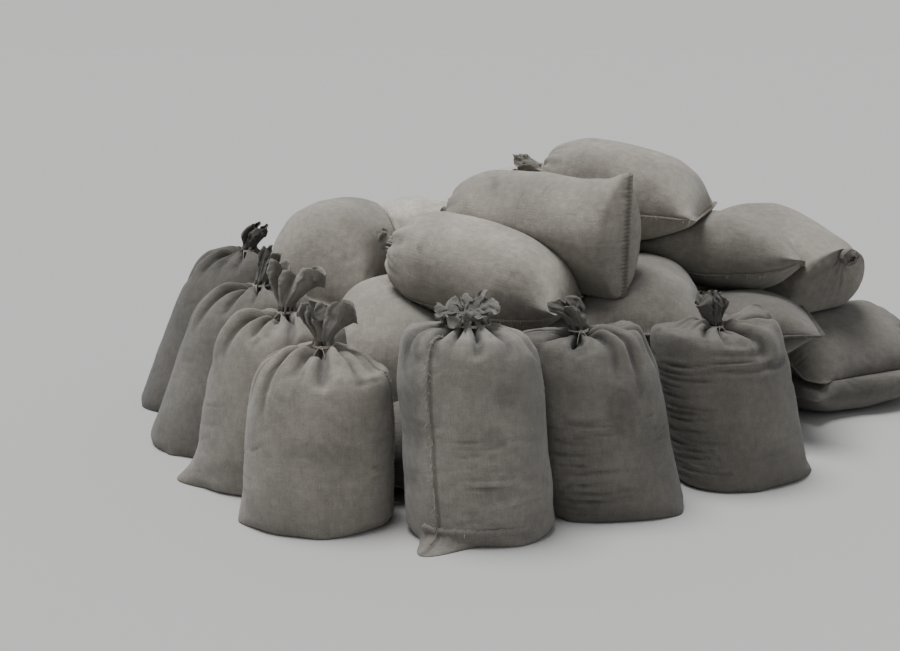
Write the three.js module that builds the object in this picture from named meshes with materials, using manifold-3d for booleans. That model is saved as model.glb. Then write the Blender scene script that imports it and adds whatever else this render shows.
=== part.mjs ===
// A heap of filled grain sacks: seven tied sacks stand in a curved row along the front, and the rest
// lie behind them, stacked four deep. Each sack is one cloth bag with a sewn bottom end and, at its
// other end, a mouth gathered to a neck and tied with twine.
// Millimetres, +Z up. X runs along the front row to the right, and Y runs away from it.

import * as THREE from 'three';
import { mergeVertices } from 'three/addons/utils/BufferGeometryUtils.js';
import ManifoldModule from 'manifold-3d';

// Driving sizes

const SEAM_SPREAD = 34;             // how much further the sewn end reaches than the filled half width
const SEAM_SHARE = 0.22;            // the share of the length over which it spreads
const SEWN_EDGE_HALF = 7;           // half the thickness of the sewn edge
const NECK_RADIUS = 31;             // a mouth drawn together by twine
const NECK_LENGTH = 26;             // the straight stretch that the twine goes round
const NECK_POWER = 2;               // a neck is a plain ellipse
const TWINE_RADIUS = 4;
const TWINE_DROP = NECK_LENGTH / 8; // how far the twine sits below the middle of the neck
const MOUTH_DIP = 22;               // how deep the open mouth of a tuft dips in its middle
const TUFT_START = NECK_LENGTH / 4; // where a tuft starts above the middle of the neck
const VALLEY_HEIGHT = 0.58;         // how high the rim is between the petals of a tuft
const FLARE_START = 0.08;           // the shares of a tuft's height between which it opens
const FLARE_LENGTH = 0.8;
const CLOSING_START = 0.62;         // where a crumpled tuft starts to draw in again
const CLOSING_LENGTH = 0.43;
const PETAL_POWER = 3;              // how abruptly a petal ends at its sides
const MIDDLE = 0.5;                 // the share of the length that parts a sack's two ends
const SHOULDER = 0.93;              // the share of the length where the shoulders of a sack rise
const SHOULDER_SPREAD = 0.045;
const EAR_SHARE = 0.24;             // how far up a standing sack its bottom corners reach
const EAR_PINCH = 0.4;              // how much thinner the cloth is in such a corner
const EAR_POWER = 8;                // how narrow a corner is
const HANG_SHARE = 0.3;             // the share of the length over which a sewn edge hangs down
const LIFT_START = 0.75;            // the share of the length from which a raised neck bends up
const LIFT_POWER = 3;
const RIM_POWER = 1.5;              // how far round a shoulder reaches
const LEVEL = [0, 0];               // the rims of a neck
const GAP = 0.3;                    // between two pieces that touch
const LEAST_OVERLAP = 0.001;        // cubic millimetres that count as touching
const GROUND = 0;
const BASE_SINK = 12;               // how far a round underside is pressed flat by the ground
const SECTION_FULLNESS = 2.35;      // superellipse power of a filled section
const FULL_TURN = Math.PI * 2;

// How finely the pieces are cut: sides around a sack, and steps along its end curves

const SIDES = 16;
const HIDDEN_SIDES = 10;
const TUFT_SIDES = 32;
const TUFT_RISES = [0, 0.15, 0.4, 0.7, 1];
const TWINE_SIDES = 5;

// Finishes

const FINISHES = {
  jute: { color: 0x9a948a, roughness: 0.95, metalness: 0 },
  pale_jute: { color: 0xb3ada2, roughness: 0.95, metalness: 0 },
  dark_jute: { color: 0x827c72, roughness: 0.95, metalness: 0 },
  twine: { color: 0xa79f90, roughness: 0.9, metalness: 0 },
};

// The front row. foot is the middle of the base, neck is where the twine goes, turn is the angle of
// the flat width about the upright axis in degrees, and square is how much less the shoulders slope.
// rim is how far the left and the right shoulder rise beside the neck, and ears are how far the sewn
// corners reach at the left and the right of the base.
// A tuft is the cloth above the twine: its height, half its width and depth, the way that it leans
// per unit of height, how far its valleys reach and how much it closes again at the top. Each of its
// petals is [place round the neck in turns, reach, width in turns, height]. Place 0 is to the
// right, 0.25 at the back, 0.5 to the left and 0.75 in front.

const FRONT_ROW = [
  {
    foot: [-1465, 390], neck: [-1215, 530, 652], turn: -26, half: [236, 182], square: 0.35, ears: [18, 0],
    rim: [0, 0], finish: 'dark_jute',
    tuft: {
      height: 112, half: [62, 50], lean: [0.15, -0.1], valley: 0.45, closing: 0.45,
      petals: [[0.45, 1, 0.1, 1], [0.72, 1.05, 0.13, 0.72], [0.95, 1.1, 0.13, 0.8], [0.2, 0.9, 0.1, 0.8]],
    },
  },
  {
    foot: [-1285, -140], neck: [-1058, -130, 630], turn: -28, half: [242, 190], square: 0.2, ears: [22, 0],
    rim: [0, 0], finish: 'jute',
    tuft: {
      height: 142, half: [48, 40], lean: [0, 0.03], valley: 0.5, closing: 0.1,
      petals: [[0.52, 1.1, 0.1, 1], [0.78, 1, 0.1, 0.82], [0.02, 1, 0.1, 0.8], [0.27, 1, 0.1, 0.9]],
    },
  },
  {
    foot: [-1015, -545], neck: [-912, -545, 618], turn: -24, half: [244, 192], square: 0.2, ears: [95, 0],
    rim: [0, 0], finish: 'jute',
    tuft: {
      height: 175, half: [100, 50], lean: [0.04, 0.05], valley: 0.2, closing: 0,
      petals: [[0.5, 0.9, 0.09, 1], [0.7, 0.75, 0.06, 0.85], [0.97, 1.15, 0.11, 0.92],
        [0.28, 0.9, 0.12, 0.8]],
    },
  },
  {
    foot: [-785, -890], neck: [-752, -870, 578], turn: -8, half: [236, 192], square: 0, ears: [38, 12],
    rim: [0, -36], finish: 'jute',
    tuft: {
      height: 140, half: [84, 44], lean: [0.04, 0], valley: 0.25, closing: 0,
      petals: [[0.47, 1, 0.07, 0.95], [0.6, 0.8, 0.05, 0.75], [0.74, 0.8, 0.06, 0.85],
        [0.98, 1.1, 0.12, 1], [0.28, 0.85, 0.1, 0.75]],
    },
  },
  {
    foot: [-250, -975], neck: [-298, -960, 668], turn: 2, half: [228, 180], square: 0.5, ears: [12, 8],
    rim: [16, -20], finish: 'pale_jute', neckHalf: [72, 44],
    tuft: {
      height: 82, half: [92, 54], lean: [0.02, 0], valley: 0.68, closing: 0.2,
      petals: [[0.02, 0.95, 0.06, 1], [0.14, 0.9, 0.05, 0.85], [0.27, 1, 0.06, 0.9], [0.4, 0.9, 0.05, 0.75],
        [0.51, 0.95, 0.05, 0.66], [0.61, 1, 0.045, 0.8], [0.71, 1.05, 0.045, 0.7], [0.8, 1, 0.045, 0.78],
        [0.9, 1, 0.05, 0.95]],
    },
  },
  {
    foot: [186, -780], neck: [66, -770, 606], turn: 10, half: [242, 176], square: 0.4, ears: [12, 12],
    rim: [20, 52], finish: 'jute',
    tuft: {
      height: 98, half: [52, 44], lean: [-0.35, 0], valley: 0.5, closing: 0,
      petals: [[0.5, 1.15, 0.11, 1], [0.74, 1, 0.1, 0.75], [0.98, 1.1, 0.09, 0.95], [0.25, 1, 0.12, 0.95]],
    },
  },
  {
    foot: [698, -485], neck: [570, -492, 556], turn: 24, half: [250, 180], square: 0.6, ears: [0, 45],
    rim: [34, 76], finish: 'dark_jute',
    tuft: {
      height: 118, half: [62, 52], lean: [0.06, 0], valley: 0.62, closing: 0.5,
      petals: [[0.5, 1, 0.1, 0.95], [0.7, 1, 0.07, 0.9], [0.88, 1.05, 0.08, 1], [0.1, 1.05, 0.09, 0.85],
        [0.3, 1, 0.1, 0.9]],
    },
  },
];

// The sacks that lie behind. foot is the middle of the sewn end, neck is the middle of the tied end,
// roll turns the flat width about the length in degrees, blunt is how full the sewn end is, hang is
// how far its edge hangs down, lift is how far the neck is raised from the middle of its end, and
// half is half the width and half the thickness.

const LYING = {
  ground_sack_1: { foot: [-560, -410, 122], neck: [-560, 320, 122], half: [262, 142], hidden: true },
  ground_sack_2: { foot: [-10, -440, 122], neck: [0, 330, 122], half: [262, 142], hidden: true },
  ground_sack_3: { foot: [930, 20, 128], neck: [250, -10, 128], half: [250, 160], hidden: true },
  ground_sack_4: { foot: [-850, 1060, 122], neck: [-830, 290, 122], half: [262, 142] },
  ground_sack_5: { foot: [-300, 1150, 122], neck: [-300, 360, 122], half: [262, 142] },
  ground_sack_6: { foot: [240, 1180, 122], neck: [230, 400, 122], half: [262, 142] },
  ground_sack_7: { foot: [770, 1150, 122], neck: [740, 340, 122], half: [262, 142] },
  ground_sack_8: { foot: [1030, 335, 66], neck: [1680, 610, 106], half: [250, 106], roll: -8 },
  ground_sack_9: { foot: [1740, 1190, 122], neck: [1020, 990, 122], half: [260, 145] },
  ground_sack_10: { foot: [-660, -585, 150], neck: [90, -585, 150], half: [205, 170], hidden: true },
  second_layer_sack_1: { foot: [-580, -400, 350], neck: [-560, 320, 465], half: [242, 190], blunt: 0.6,
    hang: 110 },
  second_layer_sack_2: { foot: [-20, -350, 385], neck: [0, 400, 385], half: [255, 150], hidden: true },
  second_layer_sack_3: { foot: [1065, 20, 456], neck: [370, 110, 360], half: [245, 134], blunt: -0.5 },
  second_layer_sack_4: { foot: [1056, 322, 232], neck: [1690, 715, 222], half: [230, 136], roll: 32 },
  second_layer_sack_5: { foot: [-850, 1010, 385], neck: [-850, 260, 385], half: [255, 150] },
  second_layer_sack_6: { foot: [-300, 1130, 385], neck: [-310, 400, 385], half: [255, 150] },
  second_layer_sack_7: { foot: [250, 1150, 385], neck: [230, 420, 385], half: [255, 150] },
  second_layer_sack_8: { foot: [800, 1130, 385], neck: [760, 420, 385], half: [255, 150] },
  third_layer_sack_1: { foot: [-922, 270, 634], neck: [-705, 860, 652], half: [240, 212], roll: 12,
    blunt: 0.75, hang: 150 },
  third_layer_sack_2: { foot: [-480, 1180, 620], neck: [-480, 500, 695], half: [232, 180] },
  third_layer_sack_3: { foot: [105, -250, 590], neck: [-573, 20, 752], half: [225, 188] },
  third_layer_sack_4: { foot: [345, -345, 485], neck: [420, 385, 545], half: [238, 168] },
  third_layer_sack_5: {
    foot: [1070, 200, 648], neck: [400, 420, 725], half: [235, 150], roll: 12, blunt: -0.6,
  },
  third_layer_sack_6: { foot: [940, 1000, 680], neck: [1285, 340, 470], half: [250, 200], lift: 190 },
  third_layer_sack_7: { foot: [60, 1150, 630], neck: [90, 430, 640], half: [235, 160] },
  third_layer_sack_8: { foot: [600, 1220, 620], neck: [600, 560, 640], half: [235, 160] },
  upper_sack_1: { foot: [292, -262, 800], neck: [-330, 330, 818], half: [222, 192], seamHalf: 262, roll: 90,
    blunt: 0.6 },
  upper_sack_2: { foot: [-330, 680, 785], neck: [350, 880, 830], half: [235, 172] },
  top_sack: { foot: [680, 250, 850], neck: [37, 500, 990], half: [235, 185],
    tuft: {
      height: 70, half: [50, 40], lean: [0, 0], valley: 0.5, closing: 0.1,
      petals: [[0.02, 1.1, 0.1, 0.8], [0.3, 1, 0.1, 0.9], [0.55, 1.1, 0.09, 1], [0.8, 1, 0.1, 0.8]],
    } },
};

// Profiles. Each row is [share of the length, share of the half width, share of the half depth].

const STANDING_PROFILE = [
  [0, 0.93, 0.86], [0.08, 1.02, 0.97], [0.3, 1.01, 1], [0.55, 1, 0.99],
  [0.76, 0.96, 0.95], [0.88, 0.85, 0.82], [0.955, 0.58, 0.56],
];
const LYING_PROFILE = [
  [0, 1.04, 0], [0.035, 1.02, 0.4], [0.12, 0.97, 0.76], [0.28, 0.96, 0.98], [0.5, 1, 1.02],
  [0.72, 0.98, 0.97], [0.88, 0.8, 0.77], [0.96, 0.48, 0.5],
];
const HIDDEN_PROFILE = [
  [0, 1.02, 0], [0.06, 1, 0.55], [0.26, 0.97, 0.98], [0.5, 1, 1.02], [0.74, 0.98, 0.95], [0.93, 0.6, 0.6],
];

const UP = new THREE.Vector3(0, 0, 1);
const ACROSS = new THREE.Vector3(1, 0, 0);

const wasm = await ManifoldModule();
wasm.setup();

// A closed skin through rings of points that all have the same number of corners, with a pole in
// the middle of each end.
function skin(rings, startPole, endPole) {
  const sides = rings[0].length;
  const points = [...rings.flat(), startPole, endPole];
  const start = points.length - 2;
  const end = points.length - 1;
  const triangles = [];
  for (let ring = 0; ring < rings.length - 1; ring += 1) {
    for (let side = 0; side < sides; side += 1) {
      const next = (side + 1) % sides;
      const [a, b] = [ring * sides + side, ring * sides + next];
      const [c, d] = [a + sides, b + sides];
      triangles.push(a, b, d, a, d, c);
    }
  }
  const last = (rings.length - 1) * sides;
  for (let side = 0; side < sides; side += 1) {
    const next = (side + 1) % sides;
    triangles.push(start, next, side, end, last + side, last + next);
  }
  const geometry = new THREE.BufferGeometry();
  geometry.setAttribute('position', new THREE.Float32BufferAttribute(points.flatMap((p) => p.toArray()), 3));
  geometry.setIndex(triangles);
  return geometry;
}

function toSolid(geometry) {
  const bare = geometry.clone();
  bare.deleteAttribute('normal');
  bare.deleteAttribute('uv');
  const merged = mergeVertices(bare);
  const mesh = new wasm.Mesh({
    numProp: 3,
    vertProperties: new Float32Array(merged.attributes.position.array),
    triVerts: new Uint32Array(merged.index.array),
  });
  return new wasm.Manifold(mesh);
}

function toGeometry(solid) {
  const mesh = solid.getMesh();
  const geometry = new THREE.BufferGeometry();
  geometry.setAttribute('position', new THREE.BufferAttribute(new Float32Array(mesh.vertProperties), 3));
  geometry.setIndex(new THREE.BufferAttribute(new Uint32Array(mesh.triVerts), 1));
  geometry.computeVertexNormals();
  return geometry;
}

// The directions of a sack: along its length, across its flat width and through its thickness. A
// standing sack leans as its grain settles, so its sections stay level.
function sackAxes(sack) {
  const along = sack.neck.clone().sub(sack.foot);
  const length = along.length();
  along.normalize();
  const angle = THREE.MathUtils.degToRad(sack.turn);
  if (sack.standing) {
    const across = ACROSS.clone().applyAxisAngle(UP, angle);
    return { along, across, through: UP.clone().cross(across), length };
  }
  const across = along.clone().cross(UP).normalize().applyAxisAngle(along, angle);
  return { along, across, through: along.clone().cross(across), length };
}

// A point of a filled section: a superellipse whose flat sides bulge and whose edges are round.
function sectionPoint(angle, halfWidth, halfDepth, power) {
  const c = Math.cos(angle);
  const s = Math.sin(angle);
  return [
    halfWidth * Math.sign(c) * Math.abs(c) ** (2 / power),
    halfDepth * Math.sign(s) * Math.abs(s) ** (2 / power),
  ];
}

// The filled bag, from its sewn end or its base to just past the twine.
function sackBody(sack) {
  const { along, across, through, length } = sackAxes(sack);
  const [halfWidth, halfDepth] = sack.half;
  const sides = sack.hidden ? HIDDEN_SIDES : SIDES;
  const place = (share, x, y) => {
    const hung = Math.max(0, 1 - share / HANG_SHARE);
    const lifted = Math.min(1, Math.max(0, (share - LIFT_START) / (1 - LIFT_START)));
    return sack.foot.clone()
      .addScaledVector(along, share * length)
      .addScaledVector(across, x)
      .addScaledVector(through, y)
      .addScaledVector(UP, sack.lift * lifted ** LIFT_POWER - sack.hang * hung ** 2);
  };
  const ring = (share, wide, deep, power, rims) => {
    const near = Math.max(0, 1 - share / EAR_SHARE) ** 2;
    const shoulder = Math.exp(-(((share - SHOULDER) / SHOULDER_SPREAD) ** 2));
    const points = [];
    for (let side = 0; side < sides; side += 1) {
      const angle = (side / sides) * FULL_TURN;
      const [x, y] = sectionPoint(angle, wide, deep, power);
      const corner = near * Math.cos(angle) ** EAR_POWER;
      const ear = x > 0 ? sack.ears[1] : -sack.ears[0];
      const pinch = ear === 0 ? 0 : EAR_PINCH;
      const rim = (x > 0 ? rims[1] : rims[0]) * Math.abs(Math.cos(angle)) ** RIM_POWER;
      points.push(place(share + (rim / length) * shoulder, x + ear * corner, y * (1 - pinch * corner)));
    }
    return points;
  };
  const rings = sack.profile.map(([share, wide, deep]) => {
    const nearSeam = sack.standing ? 0 : Math.max(0, 1 - share / SEAM_SHARE);
    const full = (part) => (share > MIDDLE ? 1 - (1 - part) * (1 - sack.square) : part);
    const reach = THREE.MathUtils.lerp(halfWidth * full(wide), sack.seamHalf, nearSeam ** 2);
    const blunted = share > 0 && share < MIDDLE ? deep ** (1 - sack.blunt) : deep;
    const thickness = Math.max(SEWN_EDGE_HALF, halfDepth * full(blunted));
    return ring(share, reach, thickness, SECTION_FULLNESS, sack.rim);
  });
  const [neckWide, neckDeep] = sack.neckHalf;
  const neckShare = NECK_LENGTH / length;
  rings.push(ring(1 - neckShare / 2, neckWide, neckDeep, NECK_POWER, LEVEL));
  rings.push(ring(1 + neckShare / 2, neckWide, neckDeep, NECK_POWER, LEVEL));
  return skin(rings, place(0, 0, 0), place(1 + neckShare / 2, 0, 0));
}

// The gathered cloth above the twine. Seen from above, each petal is a bump that reaches further out
// and higher up than the valleys between the petals, and the open mouth dips in the middle.
function sackTuft(sack) {
  const { along, across, through } = sackAxes(sack);
  const { height, half, lean, valley, closing, petals } = sack.tuft;
  const base = sack.neck.clone().addScaledVector(along, TUFT_START);
  const [neckWide, neckDeep] = sack.neckHalf;
  const place = (rise, x, y) => base.clone()
    .addScaledVector(along, rise * height)
    .addScaledVector(across, x + lean[0] * height * rise * rise)
    .addScaledVector(through, y + lean[1] * height * rise * rise);
  const { clamp, lerp } = THREE.MathUtils;
  const rings = TUFT_RISES.map((rise) => {
    const flare = Math.sin(clamp((rise - FLARE_START) / FLARE_LENGTH, 0, 1) * FULL_TURN / 4);
    const close = 1 - closing * clamp((rise - CLOSING_START) / CLOSING_LENGTH, 0, 1);
    const points = [];
    for (let side = 0; side < TUFT_SIDES; side += 1) {
      const turn = side / TUFT_SIDES;
      let reach = valley;
      let top = VALLEY_HEIGHT;
      petals.forEach(([middle, out, width, high]) => {
        const apart = Math.abs(turn - middle - Math.round(turn - middle));
        const bump = Math.exp(-((apart / width) ** PETAL_POWER));
        reach = Math.max(reach, lerp(valley, out, bump));
        top = Math.max(top, lerp(VALLEY_HEIGHT, high, bump));
      });
      const wide = lerp(neckWide, half[0] * reach, flare) * close;
      const deep = lerp(neckDeep, half[1] * reach, flare) * close;
      const lift = rise * lerp(1, top, flare * rise);
      points.push(place(lift, wide * Math.cos(turn * FULL_TURN), deep * Math.sin(turn * FULL_TURN)));
    }
    return points;
  });
  return skin(rings, place(0, 0, 0), place(VALLEY_HEIGHT - MOUTH_DIP / height, 0, 0));
}

// Twine drawn tight round the neck: a ring that keeps the gap all round.
function twineRing(sack) {
  const { along, across, through } = sackAxes(sack);
  const [neckWide, neckDeep] = sack.neckHalf;
  const clear = GAP / Math.cos(Math.PI / SIDES);
  const points = [];
  const triangles = [];
  for (let side = 0; side < SIDES; side += 1) {
    const angle = (side / SIDES) * FULL_TURN;
    for (let turn = 0; turn < TWINE_SIDES; turn += 1) {
      const around = ((turn + 0.5) / TWINE_SIDES) * FULL_TURN;
      const out = clear + TWINE_RADIUS * (1 + Math.cos(around));
      const rise = TWINE_RADIUS * Math.sin(around) - TWINE_DROP;
      points.push(sack.neck.clone()
        .addScaledVector(across, (neckWide + out) * Math.cos(angle))
        .addScaledVector(through, (neckDeep + out) * Math.sin(angle))
        .addScaledVector(along, rise));
      const next = ((side + 1) % SIDES) * TWINE_SIDES;
      const [a, b] = [side * TWINE_SIDES + turn, side * TWINE_SIDES + ((turn + 1) % TWINE_SIDES)];
      const [c, d] = [next + turn, next + ((turn + 1) % TWINE_SIDES)];
      triangles.push(a, c, d, a, d, b);
    }
  }
  const geometry = new THREE.BufferGeometry();
  geometry.setAttribute('position', new THREE.Float32BufferAttribute(points.flatMap((p) => p.toArray()), 3));
  geometry.setIndex(triangles);
  return geometry;
}

// The plane that two pressed sacks share. Where their round shapes would run into each other, the
// part of either skin inside the other has one vector area, which gives the plane's direction, and
// the plane goes through the middle of the line where the two skins cross.
function contactPlane(solid, other) {
  const lens = solid.intersect(other);
  if (lens.volume() < LEAST_OVERLAP) {
    return null;
  }
  const mesh = lens.getMesh();
  const own = new Set();
  const others = new Set();
  const normal = new THREE.Vector3();
  const corner = (index) => new THREE.Vector3(...mesh.vertProperties.slice(index * 3, index * 3 + 3));
  for (let run = 0; run < mesh.runOriginalID.length; run += 1) {
    const isOwn = mesh.runOriginalID[run] === solid.originalID();
    for (let at = mesh.runIndex[run]; at < mesh.runIndex[run + 1]; at += 3) {
      const ids = [...mesh.triVerts.slice(at, at + 3)];
      ids.forEach((id) => (isOwn ? own : others).add(id));
      if (isOwn) {
        const [a, b, c] = ids.map(corner);
        normal.add(b.sub(a).cross(c.sub(a)));
      }
    }
  }
  const rim = [...own].filter((id) => others.has(id)).map(corner);
  const middle = rim.reduce((sum, point) => sum.add(point), new THREE.Vector3()).divideScalar(rim.length);
  normal.normalize();
  return { normal, offset: normal.dot(middle) };
}

// All sacks, from the two lists

const sacks = FRONT_ROW.map((row, index) => ({
  name: `front_row_sack_${index + 1}`,
  standing: true,
  foot: new THREE.Vector3(...row.foot, GROUND - BASE_SINK),
  neck: new THREE.Vector3(...row.neck),
  turn: row.turn,
  half: row.half,
  seamHalf: row.half[0],
  square: row.square,
  rim: row.rim,
  ears: row.ears,
  blunt: 0,
  hang: 0,
  lift: 0,
  neckHalf: row.neckHalf ?? [NECK_RADIUS, NECK_RADIUS],
  profile: STANDING_PROFILE,
  tuft: row.tuft,
  finish: row.finish,
}));
for (const [name, row] of Object.entries(LYING)) {
  sacks.push({
    name,
    standing: false,
    foot: new THREE.Vector3(...row.foot),
    neck: new THREE.Vector3(...row.neck),
    turn: row.roll ?? 0,
    half: row.half,
    seamHalf: row.seamHalf ?? row.half[0] + SEAM_SPREAD,
    square: 0,
    rim: [0, 0],
    ears: [0, 0],
    blunt: row.blunt ?? 0,
    hang: row.hang ?? 0,
    lift: row.lift ?? 0,
    neckHalf: [NECK_RADIUS, NECK_RADIUS],
    profile: row.hidden ? HIDDEN_PROFILE : LYING_PROFILE,
    hidden: row.hidden,
    tuft: row.tuft,
    finish: 'jute',
  });
}

// Press the sacks against each other and the ground

const whole = sacks.map((sack) => toSolid(sackBody(sack)).asOriginal());
const pressed = whole.map((solid) => solid.trimByPlane(UP.toArray(), GROUND));
for (let first = 0; first < sacks.length; first += 1) {
  for (let second = first + 1; second < sacks.length; second += 1) {
    const plane = contactPlane(whole[first], whole[second]);
    if (plane) {
      const { normal, offset } = plane;
      const back = normal.clone().negate().toArray();
      pressed[first] = pressed[first].trimByPlane(back, -(offset - GAP / 2));
      pressed[second] = pressed[second].trimByPlane(normal.toArray(), offset + GAP / 2);
    }
  }
}

// The scene graph

const heap = new THREE.Group();
const pile = new THREE.Group();
heap.add(pile);

function addPiece(name, geometry, finish) {
  const material = new THREE.MeshStandardMaterial(FINISHES[finish]);
  const mesh = new THREE.Mesh(geometry, material);
  mesh.name = name;
  pile.add(mesh);
}

sacks.forEach((sack, index) => {
  const solid = sack.tuft ? pressed[index].add(toSolid(sackTuft(sack))) : pressed[index];
  addPiece(sack.name, toGeometry(solid), sack.finish);
  if (sack.tuft) {
    addPiece(`${sack.name}_twine`, twineRing(sack), 'twine');
  }
});

// The origin is under the middle of the heap, on the ground.

const box = new THREE.Box3().setFromObject(pile);
const middle = box.getCenter(new THREE.Vector3());
pile.position.set(-middle.x, -middle.y, -box.min.z);

export default heap;
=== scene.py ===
"""A heap of filled grain sacks: the cloth, seams, gathered mouths and twine of every sack.

Each sack is one cloth surface worked out on a grid. One parameter runs along the sack, from its sewn
end over the filled body to the neck and up the gathered mouth, and the other runs round it. Metres.
"""
import math

import bpy
import numpy as np
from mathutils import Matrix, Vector


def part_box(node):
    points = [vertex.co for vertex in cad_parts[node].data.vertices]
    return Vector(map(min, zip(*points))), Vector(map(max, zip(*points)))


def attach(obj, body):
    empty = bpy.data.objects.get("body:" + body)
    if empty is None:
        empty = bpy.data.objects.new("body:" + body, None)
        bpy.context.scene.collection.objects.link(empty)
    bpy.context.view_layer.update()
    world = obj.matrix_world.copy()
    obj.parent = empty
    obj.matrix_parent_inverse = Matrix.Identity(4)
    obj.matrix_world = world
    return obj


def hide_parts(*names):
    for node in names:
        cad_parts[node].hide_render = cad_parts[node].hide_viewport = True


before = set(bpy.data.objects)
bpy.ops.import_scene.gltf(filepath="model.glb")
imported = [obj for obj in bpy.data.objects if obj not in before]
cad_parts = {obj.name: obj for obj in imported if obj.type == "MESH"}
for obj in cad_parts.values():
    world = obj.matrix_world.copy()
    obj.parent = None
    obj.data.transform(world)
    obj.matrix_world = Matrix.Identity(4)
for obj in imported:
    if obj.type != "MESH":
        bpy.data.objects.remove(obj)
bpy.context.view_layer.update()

# Sizes that all sacks share

SEAM_SPREAD = 0.034        # how much further the sewn end reaches than the filled half width
SEAM_SHARE = 0.22          # the share of the length over which it spreads
HEM = 0.011                # from the stitches to the edge of the sewn end
HEM_HALF = 0.0035          # half the thickness of the folded hem
HEM_ROWS = (1, 0.75, 0.35)  # where the hem's rows lie, as shares of it
NECK_RADIUS = 0.031
NECK_LENGTH = 0.026
CLOTH = 0.0028             # thickness of the cloth at the open mouth, with its hairs
BASE_SINK = 0.012          # how far a round underside is pressed flat by the ground
FULLNESS = 2.35            # superellipse power of a filled section
ROUND = 2.0                # the same of a round one
POINTED = 1.05             # and of the flat sewn end, through its thickness
PRESS_ROUND = 0.007        # how softly cloth turns into a face pressed by a neighbour
TWINE_THICK = 0.0028
TWINE_TURNS = 2.7
TWINE_TWIST = 1400         # how fast the strands turn along the twine, radians per metre
GAP = 0.0003               # what the solids leave free between two pressed faces
SHOULDER = 0.93            # the share of the length where the shoulders of a sack rise
SHOULDER_SPREAD = 0.045
HANG_SHARE = 0.3           # the share of the length over which a sewn edge hangs down
LIFT_START = 0.75          # the share of the length from which a raised neck bends up
LIFT_POWER = 3
EAR_SHARE = 0.24           # how far up a standing sack its bottom corners reach
EAR_PINCH = 0.4            # how much thinner the cloth is in such a corner
PLEAT_PITCH = 0.024        # between the pleats of a sewn end
PLEAT_DEPTH = 0.0032
SEAM_HALF = 0.0052         # half the width of a felled side seam
SEAM_HEIGHT = 0.0036
SEAM_SHADOW = 0.0065       # how far round the sack the painted shadow line beside a seam lies, in turns
STITCH_PITCH = 0.011
STITCH_RADIUS = 0.0011
FRAY_THICK = 0.0007        # loose threads at a seam
FRAY_LENGTHS = (0.008, 0.022)
DEEP_FOLD = 0.009          # the depth at which a fold's painted shade is as dark as it gets
HIGH_FOLD = 0.012          # the height at which a crest's painted highlight is as light as it gets
WEAVE_PITCH = 0.0023
WELT_SIDES = 12            # corners of a seam's section
SEAM_STEP = 0.0026         # between the sections of a side seam
ROLL = (0.010, 0.007)      # half the width and the height of a fold rolled across a foot
ROLL_PITCH = 0.03          # between the places where such a fold is drawn in
END_STITCH_PITCH = 0.013
SWELLS = ((0.0042, 0.3), (0.0016, 0.12))  # how far grain pushes the cloth out, and over what width
UP = np.array([0.0, 0.0, 1.0])
FULL_TURN = 2 * math.pi

# When two solids count as pressed together

SMALLEST_FACE = 2e-6       # triangles with less area than this are slivers
FACING = -0.999995         # the product of the normals of two faces that look at each other
GAP_ERROR = 6e-5
LEAST_CONTACT = 1e-5       # the least area, in square metres
BOX_MARGIN = 0.002

# How the cloth settles

EXTRA_CLOTH = 2.0          # the flat cloth is at most this many times as long as its row of the form
COARSE = 2                 # it settles on every second row and column
SETTLE_FRAMES = 22
MOST_MOVE = 0.034
START_FOLDS = 1.2          # how much deeper the neck folds start than they are finished
SETTLED_FOLDS = 0.72       # how deep the chosen neck folds are laid over settled cloth

# The camera, placed in metres as the sacks are in the two lists below, and the floor

CAMERA_PLACE = (-0.35, -4.6, 1.5)
CAMERA_PITCH = 13.0
FOCAL_PIXELS = 1208.0
IMAGE_WIDTH = 900
SENSOR = 36.0
FLOOR_REACH = 600

# The front row, left to right. foot is the middle of the base, neck is where the twine goes, turn is
# the angle of the flat width about the upright axis, half is half the width and half the depth, square
# is how square the shoulders are, ears are how far the sewn corners reach at the left and right of the
# base, and rim is how far the left and right shoulders rise. neck_half is half the width and depth of a
# neck that is not round.

FRONT_ROW = dict(
    front_row_sack_1=dict(foot=(-1.465, 0.39), neck=(-1.215, 0.53, 0.652), turn=-26, half=(0.236, 0.182),
        square=0.35, ears=(0.018, 0), rim=(0, 0), slot="dark_jute"),
    front_row_sack_2=dict(foot=(-1.285, -0.14), neck=(-1.058, -0.13, 0.63), turn=-28, half=(0.242, 0.19),
        square=0.2, ears=(0.022, 0), rim=(0, 0), slot="jute"),
    front_row_sack_3=dict(foot=(-1.015, -0.545), neck=(-0.912, -0.545, 0.618), turn=-24,
        half=(0.244, 0.192), square=0.2, ears=(0.095, 0), rim=(0, 0), slot="jute"),
    front_row_sack_4=dict(foot=(-0.785, -0.89), neck=(-0.752, -0.87, 0.578), turn=-8,
        half=(0.236, 0.192), square=0, ears=(0.038, 0.012), rim=(0, -0.036), slot="jute"),
    front_row_sack_5=dict(foot=(-0.25, -0.975), neck=(-0.298, -0.96, 0.668), turn=2, half=(0.228, 0.18),
        square=0.5, ears=(0.012, 0.008), rim=(0.016, -0.02), slot="pale_jute", neck_half=(0.072, 0.044)),
    front_row_sack_6=dict(foot=(0.186, -0.78), neck=(0.066, -0.77, 0.606), turn=10, half=(0.242, 0.176),
        square=0.4, ears=(0.012, 0.012), rim=(0.02, 0.052), slot="jute"),
    front_row_sack_7=dict(foot=(0.698, -0.485), neck=(0.57, -0.492, 0.556), turn=24, half=(0.25, 0.18),
        square=0.6, ears=(0, 0.045), rim=(0.034, 0.076), slot="dark_jute"),
)

# Folds that each front sack shows below its tie: place round the sack (0 right, 0.25 back, 0.5 left,
# 0.75 front), how far they reach down the cloth, half width, depth, and how much they bend.

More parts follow.
